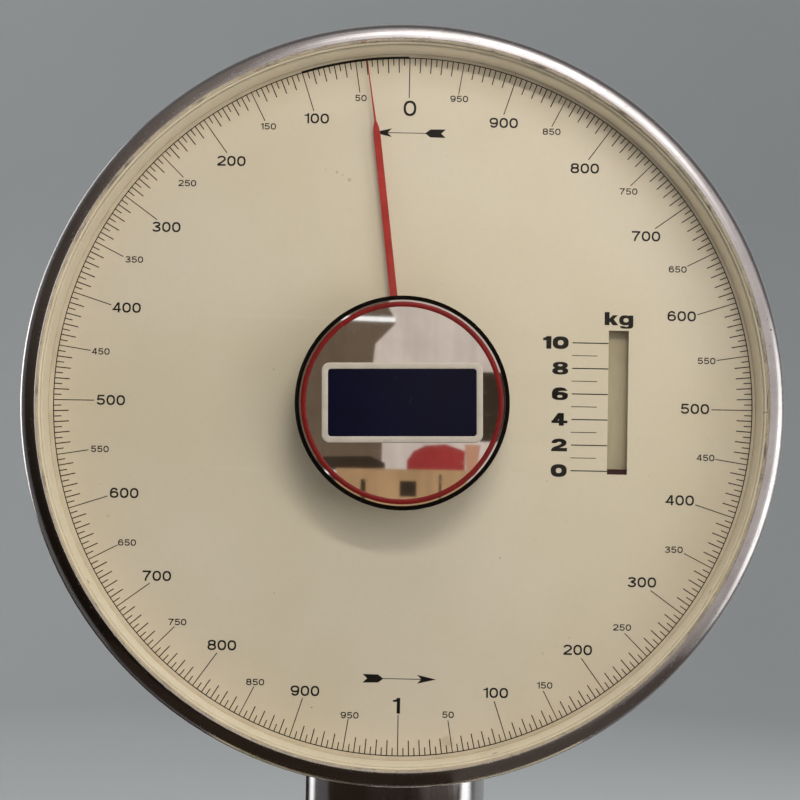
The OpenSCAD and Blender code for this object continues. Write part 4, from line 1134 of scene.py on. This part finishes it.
wput(wsh.inputs[0], path.outputs["Is Glossy Ray"])
wn.links.new(even.outputs[0], wsh.inputs[1])
wn.links.new(seen.outputs[0], wsh.inputs[2])
wn.links.new(wsh.outputs[0], wo.inputs[0])


def area(name, loc, at, w, h, power, color=(1, 1, 1), glossy=True):
    d = bpy.data.lights.new(name, "AREA")
    d.shape = "RECTANGLE"
    d.size, d.size_y, d.energy, d.color = w, h, power, color
    o = bpy.data.objects.new(name, d)
    bpy.context.scene.collection.objects.link(o)
    o.location = loc
    o.rotation_euler = (Vector(at) - Vector(loc)).to_track_quat("-Z", "Y").to_euler()
    o.visible_camera = False
    o.visible_glossy = glossy
    return o


def board(name, color, strength, pieces, one_sided=False):
    """Glowing shapes that only mirrors see, painted reflections in place of the boards and flags a photographer hangs
    round polished metal. Corners in world metres.
    """
    k = Mat("m_" + name)
    nt = k.nt
    nt.nodes.remove(k.b)
    e = k.add("ShaderNodeEmission")
    tone = k.ramp01(k.noise(9, 3, 0.6), 0.3, 0.75)
    streak = k.ramp01(k.noise(1.0, 2, 0.5, co=k.scale(60, 60, 6)), 0.35, 0.7)
    k.put(e.inputs[0], k.mix(k.math("MULTIPLY", streak, 0.25), k.mix(tone, color, tuple(c * 0.80 for c in color)), tuple(c * 0.6 for c in color)))
    e.inputs[1].default_value = strength
    last = e
    if one_sided:
        clear = k.add("ShaderNodeBsdfTransparent")
        last = k.add("ShaderNodeMixShader")
        k.put(last.inputs[0], k.add("ShaderNodeNewGeometry").outputs["Backfacing"])
        nt.links.new(e.outputs[0], last.inputs[1])
        nt.links.new(clear.outputs[0], last.inputs[2])
    nt.links.new(last.outputs[0], k.out.inputs[0])
    me = bpy.data.meshes.new(name)
    v, f = [], []
    for p in pieces:
        f.append(list(range(len(v), len(v) + len(p))))
        v += p
    me.from_pydata([tuple(q) for q in v], [], f)
    me.materials.append(k.m)
    o = bpy.data.objects.new(name, me)
    bpy.context.scene.collection.objects.link(o)
    for p in ("visible_camera", "visible_diffuse", "visible_shadow", "visible_transmission", "visible_volume_scatter"):
        setattr(o, p, False)
    return o


def ahead(depth, *pts):
    """Corners on an upright plane `depth` metres in front of the hub, in head millimetres."""
    return [W(x, y, 60.5 + 1000.0 * depth) for x, y in pts]


# painted reflections of the workshop that the mirror faces: glowing boards for a pale wall, a lamp over a shelf,
# benches and boxes
board("board_wall", (0.715, 0.610, 0.535), 1.0, [ahead(3.04, (-28, 900), (-28, 314), (-14, 292), (-14, 282), (-55, 239), (-64, 150), (-64, -22), (480, -22), (480, 900))])
board("board_room", (0.165, 0.118, 0.080), 1.0, [ahead(3.03, (-420, 900), (-27, 900), (-27, 314), (-13, 292), (-13, 282), (-54, 239), (-63, 150), (-36, 60), (-36, -22), (-420, -22))])
board("board_lamp", (1.30, 1.30, 1.27), 1.0, [ahead(3.0, (-430, 296), (-13, 293), (-13, 283), (-430, 291)), ahead(3.0, (-400, -22), (-118, -25), (-118, -33), (-400, -27))])
board("board_dark", (0.050, 0.034, 0.022), 1.0, [ahead(3.01, (165, 184), (420, 184), (420, 40), (165, 40)), ahead(3.01, (-170, 3), (-60, 6), (-29, -8), (-29, -22), (-170, -22)),
                                               ahead(2.98, (2, -44), (36, -44), (36, -76), (2, -76)), ahead(2.98, (-78, -42), (-68, -42), (-68, -95), (-78, -95)),
                                               ahead(2.98, (82, -30), (87, -30), (87, -95), (82, -95))])
board("board_cloth", (0.380, 0.048, 0.045), 1.0, [ahead(3.0, (16, -22), (16, -2), (30, 18), (55, 30), (95, 33), (135, 20), (135, -22))])
board("board_boxes", (0.500, 0.310, 0.160), 1.0, [ahead(2.99, (-130, -20), (140, -20), (140, -130), (-130, -130))])
board("board_post", (0.560, 0.290, 0.180), 1.0, [ahead(2.985, (134, 33), (166, 33), (158, -32), (139, -32))])
# and dark flags just under the head, seen from above only: dim glowing sheets that paint dark reflections
board("flag_under", (0.030, 0.020, 0.014), 1.0, [[(-0.27, -0.21, 0.205), (0.035, -0.21, 0.205), (0.035, 0.060, 0.205), (-0.27, 0.060, 0.205)]], one_sided=True)
board("flag_under_right", (0.085, 0.068, 0.058), 1.0, [[(0.035, -0.21, 0.205), (0.27, -0.21, 0.205), (0.27, 0.060, 0.205), (0.035, 0.060, 0.205)]], one_sided=True)


def aim(theta, phi, dist):
    """A point `dist` metres from the head: theta clockwise from the top, phi from straight ahead."""
    t, q = math.radians(theta), math.radians(phi)
    return C + dist * Vector((math.sin(q) * math.sin(t), -math.cos(q), math.sin(q) * math.cos(t)))


C = Vector((0.0, 0.11, 0.43))
lamp = area("tube", C + Vector((0.299 * math.sin(math.radians(20)), -0.46, 0.299 * math.cos(math.radians(20)))), C, 0.26, 0.02, 0.84, (1.0, 0.975, 0.93), glossy=False)
aimed = (C - lamp.location).normalized()
lamp.rotation_euler = (Quaternion(aimed, math.radians(20)) @ aimed.to_track_quat("-Z", "Y")).to_euler()    # a short tube lamp close above the head
area("key", aim(16, 34, 2.4), C, 0.9, 0.7, 9.2, (1.0, 0.970, 0.925), glossy=False)
area("side", aim(80, 45, 1.1), C, 0.5, 0.7, 1.9, (1.0, 0.98, 0.95), glossy=False)
area("side_low", aim(100, 55, 1.3), C, 0.6, 0.8, 2.3, (1.0, 0.98, 0.95), glossy=False)
area("front", aim(40, 17, 2.3), C, 0.8, 0.8, 4.6, (1.0, 0.975, 0.94), glossy=False)
area("ceiling_front", aim(4, 70, 2.9), C, 2.0, 1.6, 14.5, (1.0, 0.985, 0.96), glossy=False)
area("rim", C + Vector((1.35, 0.75, 0.55)), C, 0.9, 1.2, 12.0, (1.0, 0.98, 0.95), glossy=False)
area("top", (0.0, 0.5, 3.6), (0, 0.6, 0.0), 2.6, 2.2, 69.0, (0.97, 0.985, 1.0), glossy=False)

cam_d = bpy.data.cameras.new("camera")
cam_d.sensor_width = 36.0
cam_d.lens = 1930.0 / 800.0 * 36.0
cam_d.clip_start, cam_d.clip_end = 0.01, 60.0
cam = bpy.data.objects.new("camera", cam_d)
bpy.context.scene.collection.objects.link(cam)
yaw, pitch, roll = (math.radians(a) for a in (-0.009, 2.312, 1.089))
R = Matrix.Rotation(math.radians(90), 4, "X") @ Matrix.Rotation(yaw, 4, "Y") @ Matrix.Rotation(pitch, 4, "X") @ Matrix.Rotation(roll, 4, "Z")
cam.matrix_world = Matrix.Translation(W(-1.3, -37.7, 1027.1)) @ R
bpy.context.scene.camera = cam
bpy.context.scene.view_settings.view_transform = "Standard"
